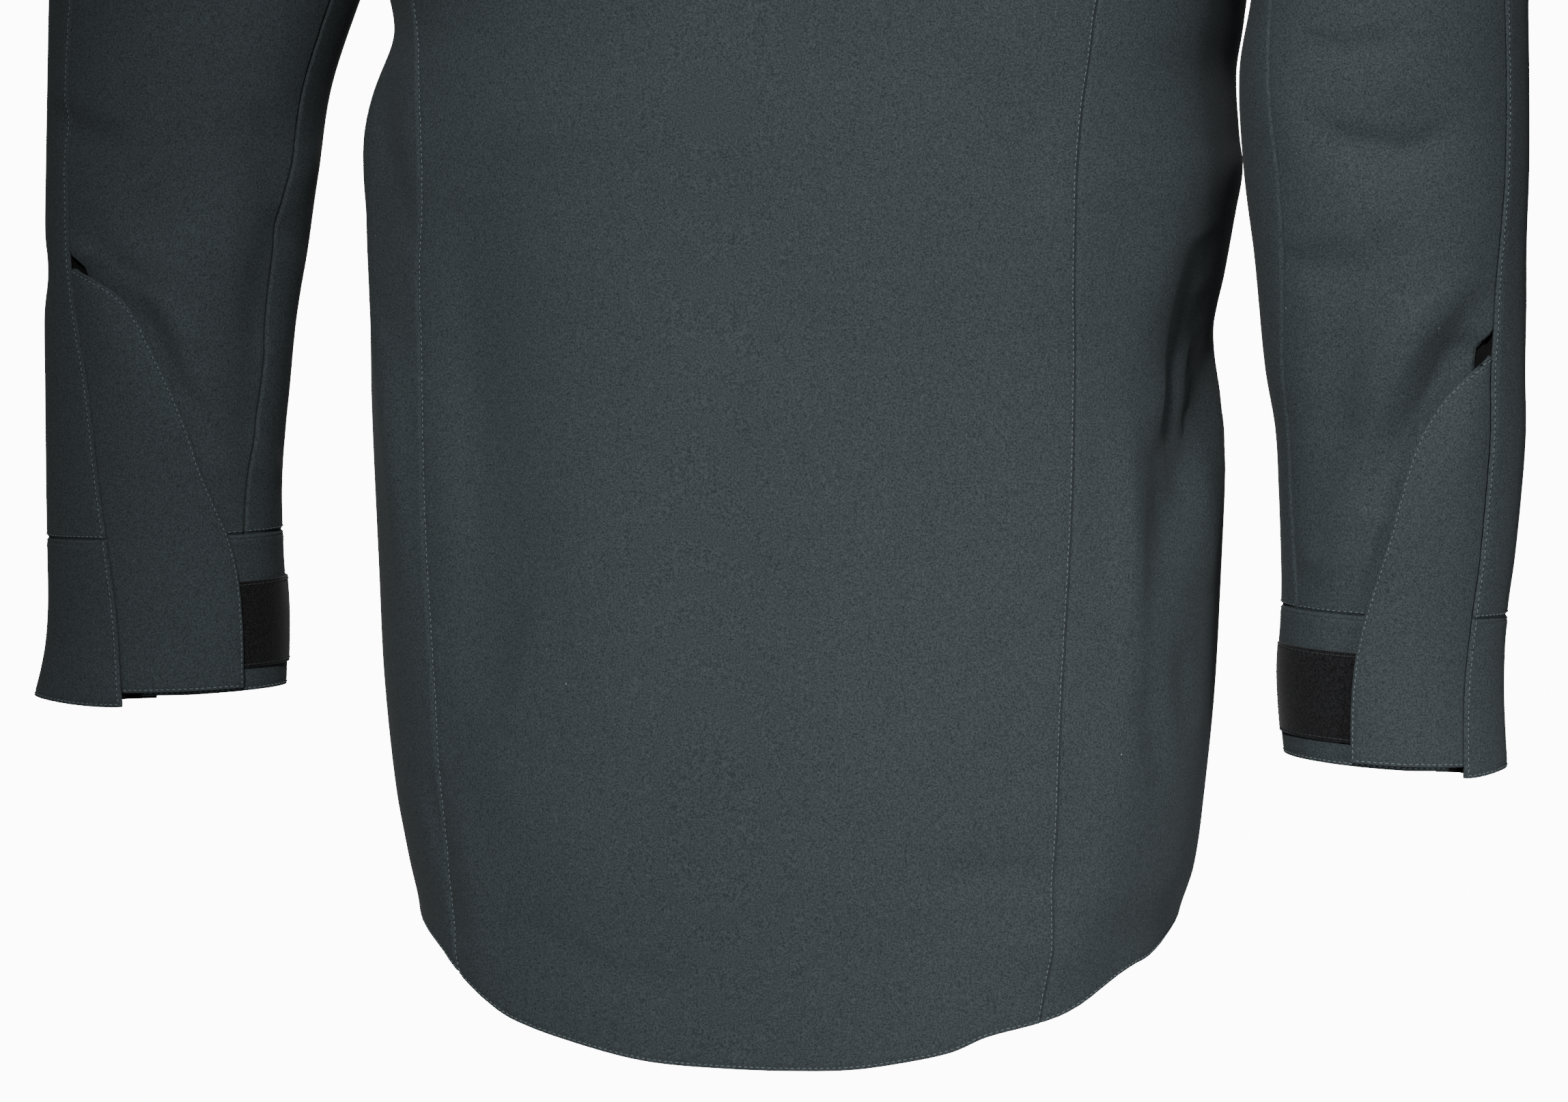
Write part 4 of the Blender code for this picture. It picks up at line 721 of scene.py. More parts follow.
def sewn_form(points, middle, edges, seed):
    """The outer and inner skins of a panel: edges maps a letter to sewn, stitched or hem."""
    normals = grid_normals(points, middle)
    lift, pinch = np.zeros(points.shape[:2]), np.zeros(points.shape[:2])
    half = SHELL / 2
    for number, (edge, kind) in enumerate(edges.items()):
        far = edge_distance(points, edge)
        along = turned_back(edge, np.repeat(
            run_length(turned_to(edge, points)[0])[None], turned_to(edge, points).shape[0], 0))
        if kind == "hem":
            near = np.clip(half - far, 0.0, half)
            pinch = np.maximum(pinch, half - np.sqrt(half**2 - near**2))
            gathers = PUCKER * puckers(along, seed + number)
            lift -= HEM_DENT * bump(far - HEM_STITCH_IN, HEM_DENT_REACH)
            lift += gathers * bump(far - PUCKER_IN, HEM_PUCKER_REACH) * HEM_EVEN
        else:
            lift -= SEAM_ROLL * (1 - ease(far / ROLL_REACH))
            strength = 1.0 if kind == "stitched" else 0.5
            gathers = strength * PUCKER * puckers(along, seed + number)
            lift += gathers * bump(far - PUCKER_IN, PUCKER_REACH)
            if kind == "stitched":
                for spot, reach, rise in STITCHED_RELIEF:
                    lift += rise * bump(far - spot, reach)
    outer = points + normals * (lift - pinch)[..., None]
    inner = points + normals * (lift * 0.5 - SHELL + pinch)[..., None]
    for edge, kind in edges.items():
        if kind == "hem":
            continue
        for skin in (outer, inner):
            lines = turned_to(edge, skin)
            step = lines[1] - lines[0]
            step = step / np.maximum(np.linalg.norm(step, axis=-1, keepdims=True), 1e-9)
            lines[0] += step * EDGE_STEP_IN
    return outer, inner


def cloth_mesh(name, outer, inner, finish):
    """A closed shell from its two skins, with flat cloth measures as its UV map."""
    rows, columns = outer.shape[:2]
    number = np.arange(rows * columns).reshape(rows, columns)
    quads = np.stack((number[:-1, :-1], number[:-1, 1:], number[1:, 1:], number[1:, :-1]),
                     -1).reshape(-1, 4)
    rim = np.concatenate((number[0, :-1], number[:-1, -1], number[-1, :0:-1], number[:0:-1, 0]))
    ahead = np.roll(rim, -1)
    count = rows * columns
    edge = np.stack((rim, rim + count, ahead + count, ahead), -1)
    faces = np.concatenate((quads, quads[:, ::-1] + count, edge))
    points = np.concatenate((outer.reshape(-1, 3), inner.reshape(-1, 3)))
    i, j = rows // 2, columns // 2
    facing = np.cross(outer[i, j + 1] - outer[i, j], outer[i + 1, j] - outer[i, j])
    if facing @ (outer[i, j] - inner[i, j]) < 0:
        faces = faces[:, ::-1]
    mesh = bpy.data.meshes.new(name)
    mesh.from_pydata(points.tolist(), [], faces.tolist())
    across = np.concatenate((np.zeros((rows, 1)), np.cumsum(
        np.linalg.norm(np.diff(outer, axis=1), axis=-1), axis=1)), 1)
    along = np.concatenate((np.zeros((1, columns)), np.cumsum(
        np.linalg.norm(np.diff(outer, axis=0), axis=-1), axis=0)), 0)
    flat = np.stack((across - across[:, j:j + 1], along), -1).reshape(-1, 2)
    flat = np.concatenate((flat, flat))
    layer = mesh.uv_layers.new(name="cloth")
    layer.data.foreach_set("uv", flat[faces.reshape(-1)].astype(np.float32).reshape(-1))
    side = mesh.attributes.new("inside", "FLOAT", "POINT")
    side.data.foreach_set("value", np.repeat((0.0, 1.0), count).astype(np.float32))
    mesh.shade_smooth()
    mesh.set_sharp_from_angle(angle=math.radians(55))
    mesh.validate()
    piece = bpy.data.objects.new(name, mesh)
    piece.data.materials.append(finish)
    bpy.context.scene.collection.objects.link(piece)
    return piece


def panel(name, points, middle, edges, finish, seed):
    """A whole sewn panel in place of its solid; gives back its outer skin."""
    outer, inner = sewn_form(points, middle, edges, seed)
    piece = cloth_mesh(name + "_cloth", outer, inner, finish)
    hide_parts(name)
    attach(piece, "garment")
    return outer


# Topstitching: rows of separate stitches, with a small dark disc of painted shade between them where the
# needle goes into the cloth
def stitch_row(outer, middle, edge, inset, ends=(0.0, 0.0)):
    """Spots and normals along a line that keeps a distance from one edge."""
    normals = grid_normals(outer, middle)
    lines, facing = turned_to(edge, outer), turned_to(edge, normals)
    far = turned_to(edge, edge_distance(outer, edge))
    inset = np.broadcast_to(inset, far.shape[1])
    above = np.clip(np.argmax(far >= inset[None], axis=0), 1, len(far) - 1)
    k = np.arange(far.shape[1])
    low, high = far[above - 1, k], far[above, k]
    share = ((inset - low) / np.maximum(high - low, 1e-9))[:, None]
    spots = lines[above - 1, k] * (1 - share) + lines[above, k] * share
    facing = facing[above - 1, k] * (1 - share) + facing[above, k] * share
    return trimmed_row(spots, facing, *ends)


def trimmed_row(spots, facing, start=0.0, end=0.0):
    along = run_length(spots)
    keep = np.concatenate(((start,), along[(along > start) & (along < along[-1] - end)],
                           (along[-1] - end,)))
    both = np.concatenate((spots, facing), 1)
    both = np.stack([np.interp(keep, along, both[:, c]) for c in range(6)], -1)
    return both[:, :3], both[:, 3:]


def along_row(spots, facing, at):
    along = run_length(spots)
    both = np.concatenate((spots, facing), 1)
    both = np.stack([np.interp(at, along, both[:, c]) for c in range(6)], -1)
    normal = both[:, 3:] / np.linalg.norm(both[:, 3:], axis=-1, keepdims=True)
    return both[:, :3], normal


def stitches(name, rows, thread, painted_hole_shade):
    """All stitches of one panel as one mesh, and small dark discs that paint the shade of their needle
    holes as another.

    The corners of both run the other way round, so these faces look into the cloth.
    """
    corners, shapes = [], []
    dots, discs = [], []
    ring = np.radians(np.arange(STITCH_SIDES) * 360.0 / STITCH_SIDES + 90.0)
    hole_ring = np.radians(np.arange(HOLE_SIDES) * 360.0 / HOLE_SIDES)
    sides, ends = STITCH_SIDES, len(STITCH_RINGS) * STITCH_SIDES
    base = 0
    for spots, facing in rows:
        total = run_length(spots)[-1]
        count = int(total / STITCH_PITCH)
        middle = (np.arange(count) + 0.5) * total / max(count, 1)
        spot, normal = along_row(spots, facing, middle)
        before, _ = along_row(spots, facing, middle - STITCH_LONG / 2)
        after, _ = along_row(spots, facing, middle + STITCH_LONG / 2)
        way = after - before
        way = way / np.maximum(np.linalg.norm(way, axis=-1, keepdims=True), 1e-9)
        across = np.cross(way, normal)
        body = []
        for reach, size, rise in STITCH_RINGS:
            centre = spot + way * (reach * STITCH_LONG) + normal * rise
            for a in ring:
                body.append(centre + across * (math.cos(a) * STITCH_HALF * size)
                            + normal * (math.sin(a) * STITCH_HALF * size * STITCH_FLAT))
        for reach in (-0.5, 0.5):
            body.append(spot + way * (reach * STITCH_LONG) - normal * STITCH_SINK)
        body = np.stack(body, 1)
        for k in range(count):
            corners.append(body[k])
            for low in (base, base + sides):
                for b in range(sides):
                    c = (b + 1) % sides
                    shapes.append((low + b, low + c, low + sides + c, low + sides + b))
            far = base + ends - sides
            for b in range(sides):
                c = (b + 1) % sides
                shapes.append((base + ends, base + c, base + b))
                shapes.append((base + ends + 1, far + b, far + c))
            base += ends + 2
        # Painted shade: a small dark disc between each two stitches paints the shadow where the needle
        # pierced the cloth
        between = np.arange(1, count) * total / max(count, 1)
        spot, normal = along_row(spots, facing, between)
        before, _ = along_row(spots, facing, between - 0.001)
        way = spot - before
        way = way / np.maximum(np.linalg.norm(way, axis=-1, keepdims=True), 1e-9)
        across = np.cross(way, normal)
        disc = [spot + normal * HOLE_RISE + way * (math.cos(a) * HOLE_LONG)
                + across * (math.sin(a) * HOLE_WIDE) for a in hole_ring]
        dots.append(np.stack(disc, 1))
    holes = np.concatenate(dots).reshape(-1, 3)
    discs = np.arange(len(holes)).reshape(-1, HOLE_SIDES)
    for suffix, points, faces, finish in (("stitches", np.concatenate(corners), shapes, thread),
                                          ("painted_needle_hole_shade", holes, discs.tolist(), painted_hole_shade)):
        mesh = bpy.data.meshes.new(name + "_" + suffix)
        mesh.from_pydata(points.tolist(), [], faces)
        mesh.shade_smooth()
        piece = bpy.data.objects.new(name + "_" + suffix, mesh)
        piece.data.materials.append(finish)
        bpy.context.scene.collection.objects.link(piece)
        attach(piece, "garment")


# Finishes
def finish(name):
    made = bpy.data.materials.new(name)
    made.use_nodes = True
    return made, made.node_tree.nodes, made.node_tree.links, made.node_tree.nodes["Principled BSDF"]


def node(nodes, kind, **settings):
    made = nodes.new(kind)
    for key, value in settings.items():
        if key in made.inputs:
            made.inputs[key].default_value = value
        else:
            setattr(made, key, value)
    return made


def maths(nodes, links, operation, a, b=None):
    made = nodes.new("ShaderNodeMath")
    made.operation = operation
    for socket, value in zip(made.inputs, (a, b)):
        if value is None:
            continue
        if isinstance(value, (int, float)):
            socket.default_value = value
        else:
            links.new(value, socket)
    return made.outputs[0]


def ranged(nodes, links, value, low, high, to_low, to_high):
    made = nodes.new("ShaderNodeMapRange")
    for socket, number in zip(made.inputs[1:5], (low, high, to_low, to_high)):
        socket.default_value = number
    links.new(value, made.inputs[0])
    return made.outputs[0]


def blended(nodes, links, share, a, b):
    made = nodes.new("ShaderNodeMix")
    made.data_type = "RGBA"
    for socket, value in ((made.inputs[0], share), (made.inputs[6], a), (made.inputs[7], b)):
        if isinstance(value, (int, float, tuple)):
            socket.default_value = value
        else:
            links.new(value, socket)
    return made.outputs[2]


def cloth_grain_group():
    """Fine speckle, slow shade changes, stray lint and a knit relief for matt cloth."""
    group = bpy.data.node_groups.new("cloth_grain", "ShaderNodeTree")
    group.interface.new_socket("Place", in_out="INPUT", socket_type="NodeSocketVector")
    group.interface.new_socket("Weave Place", in_out="INPUT", socket_type="NodeSocketVector")
    group.interface.new_socket("Fineness", in_out="INPUT", socket_type="NodeSocketFloat")
    for name in ("Speckle", "Shade", "Lint", "Relief"):
        group.interface.new_socket(name, in_out="OUTPUT", socket_type="NodeSocketFloat")
    nodes, links = group.nodes, group.links
    given = nodes.new("NodeGroupInput")
    out = nodes.new("NodeGroupOutput")
    fine = node(nodes, "ShaderNodeTexNoise", Detail=3.0, Roughness=0.65)
    links.new(given.outputs["Place"], fine.inputs["Vector"])
    links.new(given.outputs["Fineness"], fine.inputs["Scale"])
    links.new(ranged(nodes, links, fine.outputs[0], 0.30, 0.70, 0.0, 1.0), out.inputs["Speckle"])
    slow = node(nodes, "ShaderNodeTexNoise", Scale=11.0, Detail=3.0, Roughness=0.5)
    links.new(given.outputs["Place"], slow.inputs["Vector"])
    links.new(ranged(nodes, links, slow.outputs[0], 0.30, 0.70, 0.0, 1.0), out.inputs["Shade"])
    spots = node(nodes, "ShaderNodeTexVoronoi", Scale=85.0, Randomness=1.0)
    links.new(given.outputs["Place"], spots.inputs["Vector"])
    chosen = node(nodes, "ShaderNodeSeparateColor")
    links.new(spots.outputs["Color"], chosen.inputs[0])
    rare = maths(nodes, links, "GREATER_THAN", chosen.outputs[0], 0.965)
    near = ranged(nodes, links, spots.outputs["Distance"], 0.022, 0.045, 1.0, 0.0)
    links.new(maths(nodes, links, "MULTIPLY", rare, near), out.inputs["Lint"])
    relief = fine.outputs[0]
    for way in ("X", "Y"):
        rib = node(nodes, "ShaderNodeTexWave", Scale=470.0, Distortion=1.4)
        rib.inputs["Detail"].default_value = 1.0
        rib.bands_direction = way
        links.new(given.outputs["Weave Place"], rib.inputs["Vector"])
        part = maths(nodes, links, "MULTIPLY", rib.outputs["Fac"], 0.35)
        relief = maths(nodes, links, "ADD", relief, part)
    links.new(relief, out.inputs["Relief"])
    return group


def matt_cloth(name, colour, grain, fineness, speckle, relief, rough, sheen, lint=0.0,
               lining=(0.010, 0.010, 0.011, 1.0)):
    """Matt sewn cloth: speckled colour, dark inside, fine relief and a soft bloom."""
    made, nodes, links, shader = finish(name)
    place_at = nodes.new("ShaderNodeTexCoord")
    weave_at = node(nodes, "ShaderNodeUVMap")
    weave_at.uv_map = "cloth"
    texture = nodes.new("ShaderNodeGroup")
    texture.node_tree = grain
    texture.inputs["Fineness"].default_value = fineness
    links.new(place_at.outputs["Object"], texture.inputs["Place"])
    links.new(weave_at.outputs["UV"], texture.inputs["Weave Place"])
    dark = tuple(c * (1 - speckle) for c in colour[:3]) + (1.0,)
    light = tuple(c * (1 + speckle) for c in colour[:3]) + (1.0,)
    tone = blended(nodes, links, texture.outputs["Speckle"], dark, light)
    slow = ranged(nodes, links, texture.outputs["Shade"], 0.0, 1.0, 0.06, 0.0)
    tone = blended(nodes, links, slow, tone, (0.0, 0.0, 0.0, 1.0))
    if lint:
        part = maths(nodes, links, "MULTIPLY", texture.outputs["Lint"], lint)
        tone = blended(nodes, links, part, tone, (0.35, 0.36, 0.36, 1.0))
    inside = nodes.new("ShaderNodeAttribute")
    inside.attribute_name = "inside"
    within = ranged(nodes, links, inside.outputs["Fac"], 0.45, 0.60, 0.0, 1.0)
    links.new(blended(nodes, links, within, tone, lining), shader.inputs["Base Color"])
    links.new(ranged(nodes, links, texture.outputs["Speckle"], 0.0, 1.0, rough + 0.05,
                     rough - 0.05), shader.inputs["Roughness"])
    bumps = node(nodes, "ShaderNodeBump", Strength=relief, Distance=0.00008)
    links.new(texture.outputs["Relief"], bumps.inputs["Height"])
    links.new(bumps.outputs[0], shader.inputs["Normal"])
    shader.inputs["Sheen Weight"].default_value = sheen
    shader.inputs["Sheen Roughness"].default_value = 0.45
    shader.inputs["Specular IOR Level"].default_value = 0.12
    return made


grain = cloth_grain_group()
SOFTSHELL = matt_cloth("slate_softshell", (0.0385, 0.0475, 0.0515), grain, 1150.0, 0.55, 0.45,
                       0.88, 0.03, 0.6)
PILE = matt_cloth("black_loop_pile", (0.0100, 0.0100, 0.0110), grain, 950.0, 0.95, 0.9,
                  0.95, 0.10)
GUSSET_NET = matt_cloth("black_gusset_net", (0.006, 0.006, 0.0065), grain, 1800.0, 0.5, 0.8,
                        0.9, 0.05)
WOVEN_TAPE = matt_cloth("black_zip_tape", (0.010, 0.010, 0.011), grain, 1600.0, 0.3, 0.6,
                        0.8, 0.08)


def plain_thread(name, colour, rough):
    """Twisted thread: a fine change of shade along it."""
    made, nodes, links, shader = finish(name)
    place_at = nodes.new("ShaderNodeTexCoord")
    twist = node(nodes, "ShaderNodeTexNoise", Scale=900.0, Detail=2.0)
    links.new(place_at.outputs["Object"], twist.inputs["Vector"])
    share = ranged(nodes, links, twist.outputs[0], 0.3, 0.7, 0.0, 1.0)
    dark = tuple(c * 0.7 for c in colour[:3]) + (1.0,)
    light = tuple(c * 1.3 for c in colour[:3]) + (1.0,)
    links.new(blended(nodes, links, share, dark, light), shader.inputs["Base Color"])
    shader.inputs["Roughness"].default_value = rough
    return made


THREAD = plain_thread("slate_thread", (0.092, 0.116, 0.126), 0.6)
# A dark colour for the needle holes: painted shade of the pits where the thread goes into the cloth
NEEDLE_HOLE_PAINTED_SHADE = plain_thread("needle_hole_shade", (0.018, 0.022, 0.024), 0.9)
DARK_THREAD = plain_thread("black_thread", (0.016, 0.016, 0.018), 0.55)

# Body panels
BODY_MIDDLE = np.array((0.0, 0.0, 0.0))
body_ways = {"back_panel": (back_places(), {"b": "hem", "t": "stitched", "f": "stitched",
                                            "l": "stitched"}, 1.3)}
for arm, seed in (("left", 2.1), ("right", 3.7)):
    body_ways["side_panel_" + arm] = (side_places(side_of(arm)), {
        "b": "hem", "t": "sewn", "f": "sewn", "l": "sewn"}, seed)
    body_ways["front_panel_" + arm] = (front_places(side_of(arm)), {
        "b": "hem", "t": "sewn", "f": "stitched", "l": "hem"}, seed + 1.1)
outers, rows_of = {}, {}
for name, ((turn, z), edges, seed) in body_ways.items():
    rows_of[name] = body_outer(turn, z)
    outers[name] = panel(name, rows_of[name], BODY_MIDDLE, edges, SOFTSHELL, seed)

# Sleeves, cuffs, vents and flaps
# how far the band's hem hangs down at the flap's seam and flares outward, and the turn from
# which it hangs
BAND_CORNER = {"left": (0.0052, 0.0030, 372.0), "right": (0.0032, 0.0, 360.0)}
HANG_HEIGHT = 0.060       # that corner hangs below this height, and flares below the next
FLARE_HEIGHT = 0.035
GUSSET_OVER = 0.013       # how far the gusset goes up past the vent's top
GUSSET_TURNS = (-8.0, 15.0)


def sleeve_panels(arm, seed):
    """The back and front pieces of a sleeve, which meet at its two seams."""
    start, end = SEAM_INDEX[arm]
    middle = sleeve_middle(arm)
    top = SLEEVE_TOP - CUFF_HEM[arm]
    heights = mix(top, CUFF_HEIGHT[arm], graded(top - CUFF_HEIGHT[arm], ROW_STEP, False, True))
    back_columns = mix(float(start), float(end), graded(SLEEVE_BACK_WIDTH, COLUMN_STEP))
    front_columns = mix(float(end), float(start + LOOP), graded(SLEEVE_FRONT_WIDTH, COLUMN_STEP))
    name = "sleeve_back_" + arm
    outers[name] = panel(name, sleeve_grid(arm, back_columns, heights, True), middle,
                         {"b": "sewn", "t": "sewn", "f": "sewn", "l": "sewn"}, SOFTSHELL, seed)
    name = "sleeve_front_" + arm
    outers[name] = panel(name, sleeve_grid(arm, front_columns, heights, False), middle,
                         {"b": "sewn", "t": "sewn", "f": "sewn", "l": "stitched"}, SOFTSHELL,
                         seed + 0.7)


def cuff_band(arm, seed):
    """The band round the cuff, from the flap's seam right round to it again."""
    start, end = SEAM_INDEX[arm]
    middle = sleeve_middle(arm)
    height = (CUFF_HEIGHT[arm] * graded(CUFF_HEIGHT[arm], ROW_STEP))[:, None]
    column = mix(float(start), float(start + LOOP), graded(BAND_WIDTH, 0.0040))[None, :]
    turn = column_turn(arm, height, column, VENT_SETBACK * vent_share(arm, height))
    points = sleeve_outer(arm, turn, height + 0 * turn)
    push = np.where(column <= end, vent_push(arm, height, turn - section(arm, height, 5)), 0.0)
    points = points - grid_normals(points, middle) * push[..., None]
    drop, flare, begin = BAND_CORNER[arm]
    whole = section(arm, height, 5) + 360.0
    points[..., 2] -= (drop * ease((turn - begin) / (whole - begin)) ** 1.2
                       * np.maximum(0.0, 1 - height / HANG_HEIGHT) ** 1.6)
    points[..., 0] += (side_of(arm) * flare * np.maximum(0.0, np.cos(np.radians(turn))) ** 2
                       * np.maximum(0.0, 1 - height / FLARE_HEIGHT) ** 2)
    name = "cuff_band_" + arm
    outers[name] = panel(name, points, middle, {"b": "hem", "t": "stitched", "f": "sewn",
                                                "l": "sewn"}, SOFTSHELL, seed + 1.9)


def cuff_flap(arm, seed):
    """The tapered flap over the vent, which stands off more toward its free edge."""
    middle = sleeve_middle(arm)
    low, high = FLAPS[arm][0][0], FLAPS[arm][-1][0]
    height = mix(low, high, graded(high - low, ROW_STEP))[:, None]
    share = graded(FLAP_WIDTH, 0.0030)[None, :]
    stand = table_at(FLAPS[arm], height, 2) * (1 - (1 - share) ** 2)
    turn = section(arm, height, 5) + table_at(FLAPS[arm], height, 1) * share
    points = sleeve_outer(arm, turn, height + 0 * turn)
    points = points + grid_normals(points, middle) * stand[..., None]
    name = "cuff_flap_" + arm
    outers[name] = panel(name, points, middle, {"b": "hem", "t": "sewn", "f": "sewn",
                                                "l": "hem"}, SOFTSHELL, seed + 2.8)


def vent_gusset(arm, seed):
    """The dark mesh under the flap, behind the vent's mouth."""
    middle = sleeve_middle(arm)
    top = VENT_HEIGHT[arm] + GUSSET_OVER
    height = mix(-0.001, top, graded(top, ROW_STEP))[:, None]
    past = mix(*GUSSET_TURNS, graded(GUSSET_WIDTH, 0.0024))[None, :]
    deep = VENT_DEPTH * vent_share(arm, height, 0.010)
    push = np.where(past > 0, deep * (1 - ease((past - VENT_SETBACK) / VENT_EASE)), 0.0)
    clear = np.where(past > 0, 1.0, 2.0) * GUSSET_GAP
    turn = section(arm, height, 5) + past
    points = sleeve_outer(arm, turn, height + 0 * turn)
    points = points - grid_normals(points, middle) * (CLOTH + push + clear)[..., None]
    name = "vent_gusset_" + arm
    outers[name] = panel(name, points, middle, {"b": "hem"}, GUSSET_NET, seed + 3.3)


def loop_patch(arm, seed):
    """The strip of loop tape that comes out from under the flap on the cuff band."""
    start, end = SEAM_INDEX[arm]
    middle = sleeve_middle(arm)
    from_edge, to_edge, low, high = PATCHES[arm]
    mid = np.array((low + high) / 2)
    edge = section(arm, mid, 5) + table_at(FLAPS[arm], mid, 1)
    outer_seam, inner_seam = section(arm, mid, 5) + VENT_SETBACK, section(arm, mid, 6)

    def band_column(turn):
        back = start + (end - start) * (turn - outer_seam) / (inner_seam - outer_seam)
        share = (turn - inner_seam) / (section(arm, mid, 5) + 360.0 - inner_seam)
        return float(np.where(turn <= inner_seam, back, end + (start + LOOP - end) * share))

    first, last = band_column(edge + from_edge), band_column(edge + to_edge)
    column = mix(first, last, graded(PATCH_WIDTH, 0.0022))[None, :]
    height = mix(low, high, graded(high - low, 0.0022))[:, None]
    turn = column_turn(arm, height, column, VENT_SETBACK * vent_share(arm, height))
    points = sleeve_outer(arm, turn, height + 0 * turn)
    push = np.where(column <= end, vent_push(arm, height, turn - section(arm, height, 5)), 0.0)
    points = points + grid_normals(points, middle) * (PATCH_GAP + PATCH_THICK - push)[..., None]
    name = "loop_patch_" + arm
    outers[name] = panel(name, points, middle, {}, PILE, seed + 4.1)


for arm, seed in (("left", 5.3), ("right", 6.9)):
    for make in (sleeve_panels, cuff_band, cuff_flap, vent_gusset, loop_patch):
        make(arm, seed)

# Stand collar on the neck line, from the left front edge round the back to the right
COLLAR_MIDDLE = np.array((0.0, -0.008, 0.0))
COLLAR_TUCK = -0.022      # its foot goes down by this share of its height, behind the neck edge
neck = np.concatenate((rows_of["front_panel_left"][-1, :0:-1], rows_of["back_panel"][-1, ::-1],
                       rows_of["front_panel_right"][-1, 1:]))
v = graded(COLLAR_HEIGHT, ROW_STEP)[:, None, None]
v = np.where(v == 0.0, COLLAR_TUCK, v)
lean = (neck - COLLAR_MIDDLE) * np.array((1.0, 1.0, 0.0))
lean = lean / np.linalg.norm(lean, axis=-1, keepdims=True)
tall = COLLAR_SIDE + COLLAR_MORE * (1 - np.minimum(1.0, (neck[:, 0] / NECK_HALF) ** 2))
collar = (neck[None] + np.array((0.0, 0.0, 1.0)) * tall[None, :, None] * v
          - lean[None] * COLLAR_LEAN * v)
rows_of["collar"] = collar
outers["collar"] = panel("collar", collar, COLLAR_MIDDLE, {
    "b": "stitched", "t": "hem", "f": "hem", "l": "hem"}, SOFTSHELL, 9.2)


# Rows of topstitching
def stitched(name, rows, thread=None):
    """Rows of stitches on a panel, in slate thread unless another is given."""
    stitches(name, rows, thread or THREAD, NEEDLE_HOLE_PAINTED_SHADE)


def body_row(name, edge, inset, ends=(0.002, 0.002)):
    return stitch_row(outers[name], BODY_MIDDLE, edge, inset, ends)


stitched("back_panel", [body_row("back_panel", "f", STITCH_IN),
                        body_row("back_panel", "l", STITCH_IN),
                        body_row("back_panel", "b", HEM_STITCH_IN),
                        body_row("back_panel", "t", 0.0028)])
for arm in ("left", "right"):
    stitched("side_panel_" + arm, [body_row("side_panel_" + arm, "b", HEM_STITCH_IN)])
    stitched("front_panel_" + arm, [
        body_row("front_panel_" + arm, "f", STITCH_IN),
        body_row("front_panel_" + arm, "b", HEM_STITCH_IN),
        body_row("front_panel_" + arm, "l", HEM_STITCH_IN),
        body_row("front_panel_" + arm, "l", 0.0085, (0.003, 0.003))])
    middle = sleeve_middle(arm)
    flap_inset = 0.0020 + 0.0012 * ease((np.arange(outers["cuff_flap_" + arm].shape[0])
                                         / outers["cuff_flap_" + arm].shape[0] - 0.75) / 0.2)
    stitched("sleeve_front_" + arm, [
        stitch_row(outers["sleeve_front_" + arm], middle, "l", STITCH_IN, (0.003, 0.0)),
        stitch_row(outers["sleeve_front_" + arm], middle, "t", 0.0022, (0.002, 0.002))])
    stitched("sleeve_back_" + arm, [
        stitch_row(outers["sleeve_back_" + arm], middle, "t", 0.0022, (0.002, 0.002))])
    stitched("cuff_flap_" + arm, [
        stitch_row(outers["cuff_flap_" + arm], middle, "l", flap_inset, (0.0025, 0.004)),
        stitch_row(outers["cuff_flap_" + arm], middle, "b", HEM_STITCH_IN, (0.001, 0.003))])
    stitched("cuff_band_" + arm, [
        stitch_row(outers["cuff_band_" + arm], middle, "l", STITCH_IN, (0.003, 0.001)),
        stitch_row(outers["cuff_band_" + arm], middle, "b", HEM_STITCH_IN, (0.002, 0.002))])
    patch = outers["loop_patch_" + arm]
    stitched("loop_patch_" + arm, [stitch_row(patch, middle, edge, 0.0018, (0.0018, 0.0018))
                                   for edge in "btfl"], DARK_THREAD)
stitched("collar", [stitch_row(outers["collar"], COLLAR_MIDDLE, edge,
                               STITCH_IN if edge == "b" else HEM_STITCH_IN, (0.003, 0.003))
                    for edge in "btfl"])

# Zip: a woven tape under each front edge, its teeth, and worn metal on the slider and pull
ZIP_COLUMNS = (0.0029, 0.0180)
SLIDER_TOP = -0.034
SLIDER_POST = 0.0040
CHAIN_DEPTH = 0.0012
CHAIN_THICK = 0.0020
TAPE_CLEAR = 0.0002       # between the front edge and the tape under it
TAPE_COLUMN = 9           # column of the front panel that gives the tape its slope
TEETH_START = 0.0052      # from the hem to the first tooth
TEETH_STOP = 0.0012       # from the slider's post to the last
TOOTH_BEVEL = 0.0004
TOOTH_TOP = 0.78          # size of a tooth's face
TOOTH_NECK = -0.002       # what lies beyond it keeps its place on the tape


def front_line(arm, column):
    """One column of the front panel and the collar above it, from the hem to the collar's top."""
    body = rows_of["front_panel_" + arm][:, -1 - column]
    above = rows_of["collar"][1:, column if arm == "left" else -1 - column]
    return np.concatenate((body, above))


def zip_way(arm):
    """The front edge, a line beside it, and the way that the zip faces all along it."""
    edge, beside = front_line(arm, 0), front_line(arm, TAPE_COLUMN)
    up = np.gradient(edge, axis=0)
    out = np.cross(up, beside - edge) * (-1.0 if arm == "left" else 1.0)
    out = out / np.linalg.norm(out, axis=-1, keepdims=True)
    out = out * np.where(out[:, 1:2] > 0, -1.0, 1.0)
    smooth = out.copy()
    for _ in range(6):
        smooth[1:-1] = (smooth[:-2] + smooth[1:-1] + smooth[2:]) / 3
    return edge, beside, smooth / np.linalg.norm(smooth, axis=-1, keepdims=True)


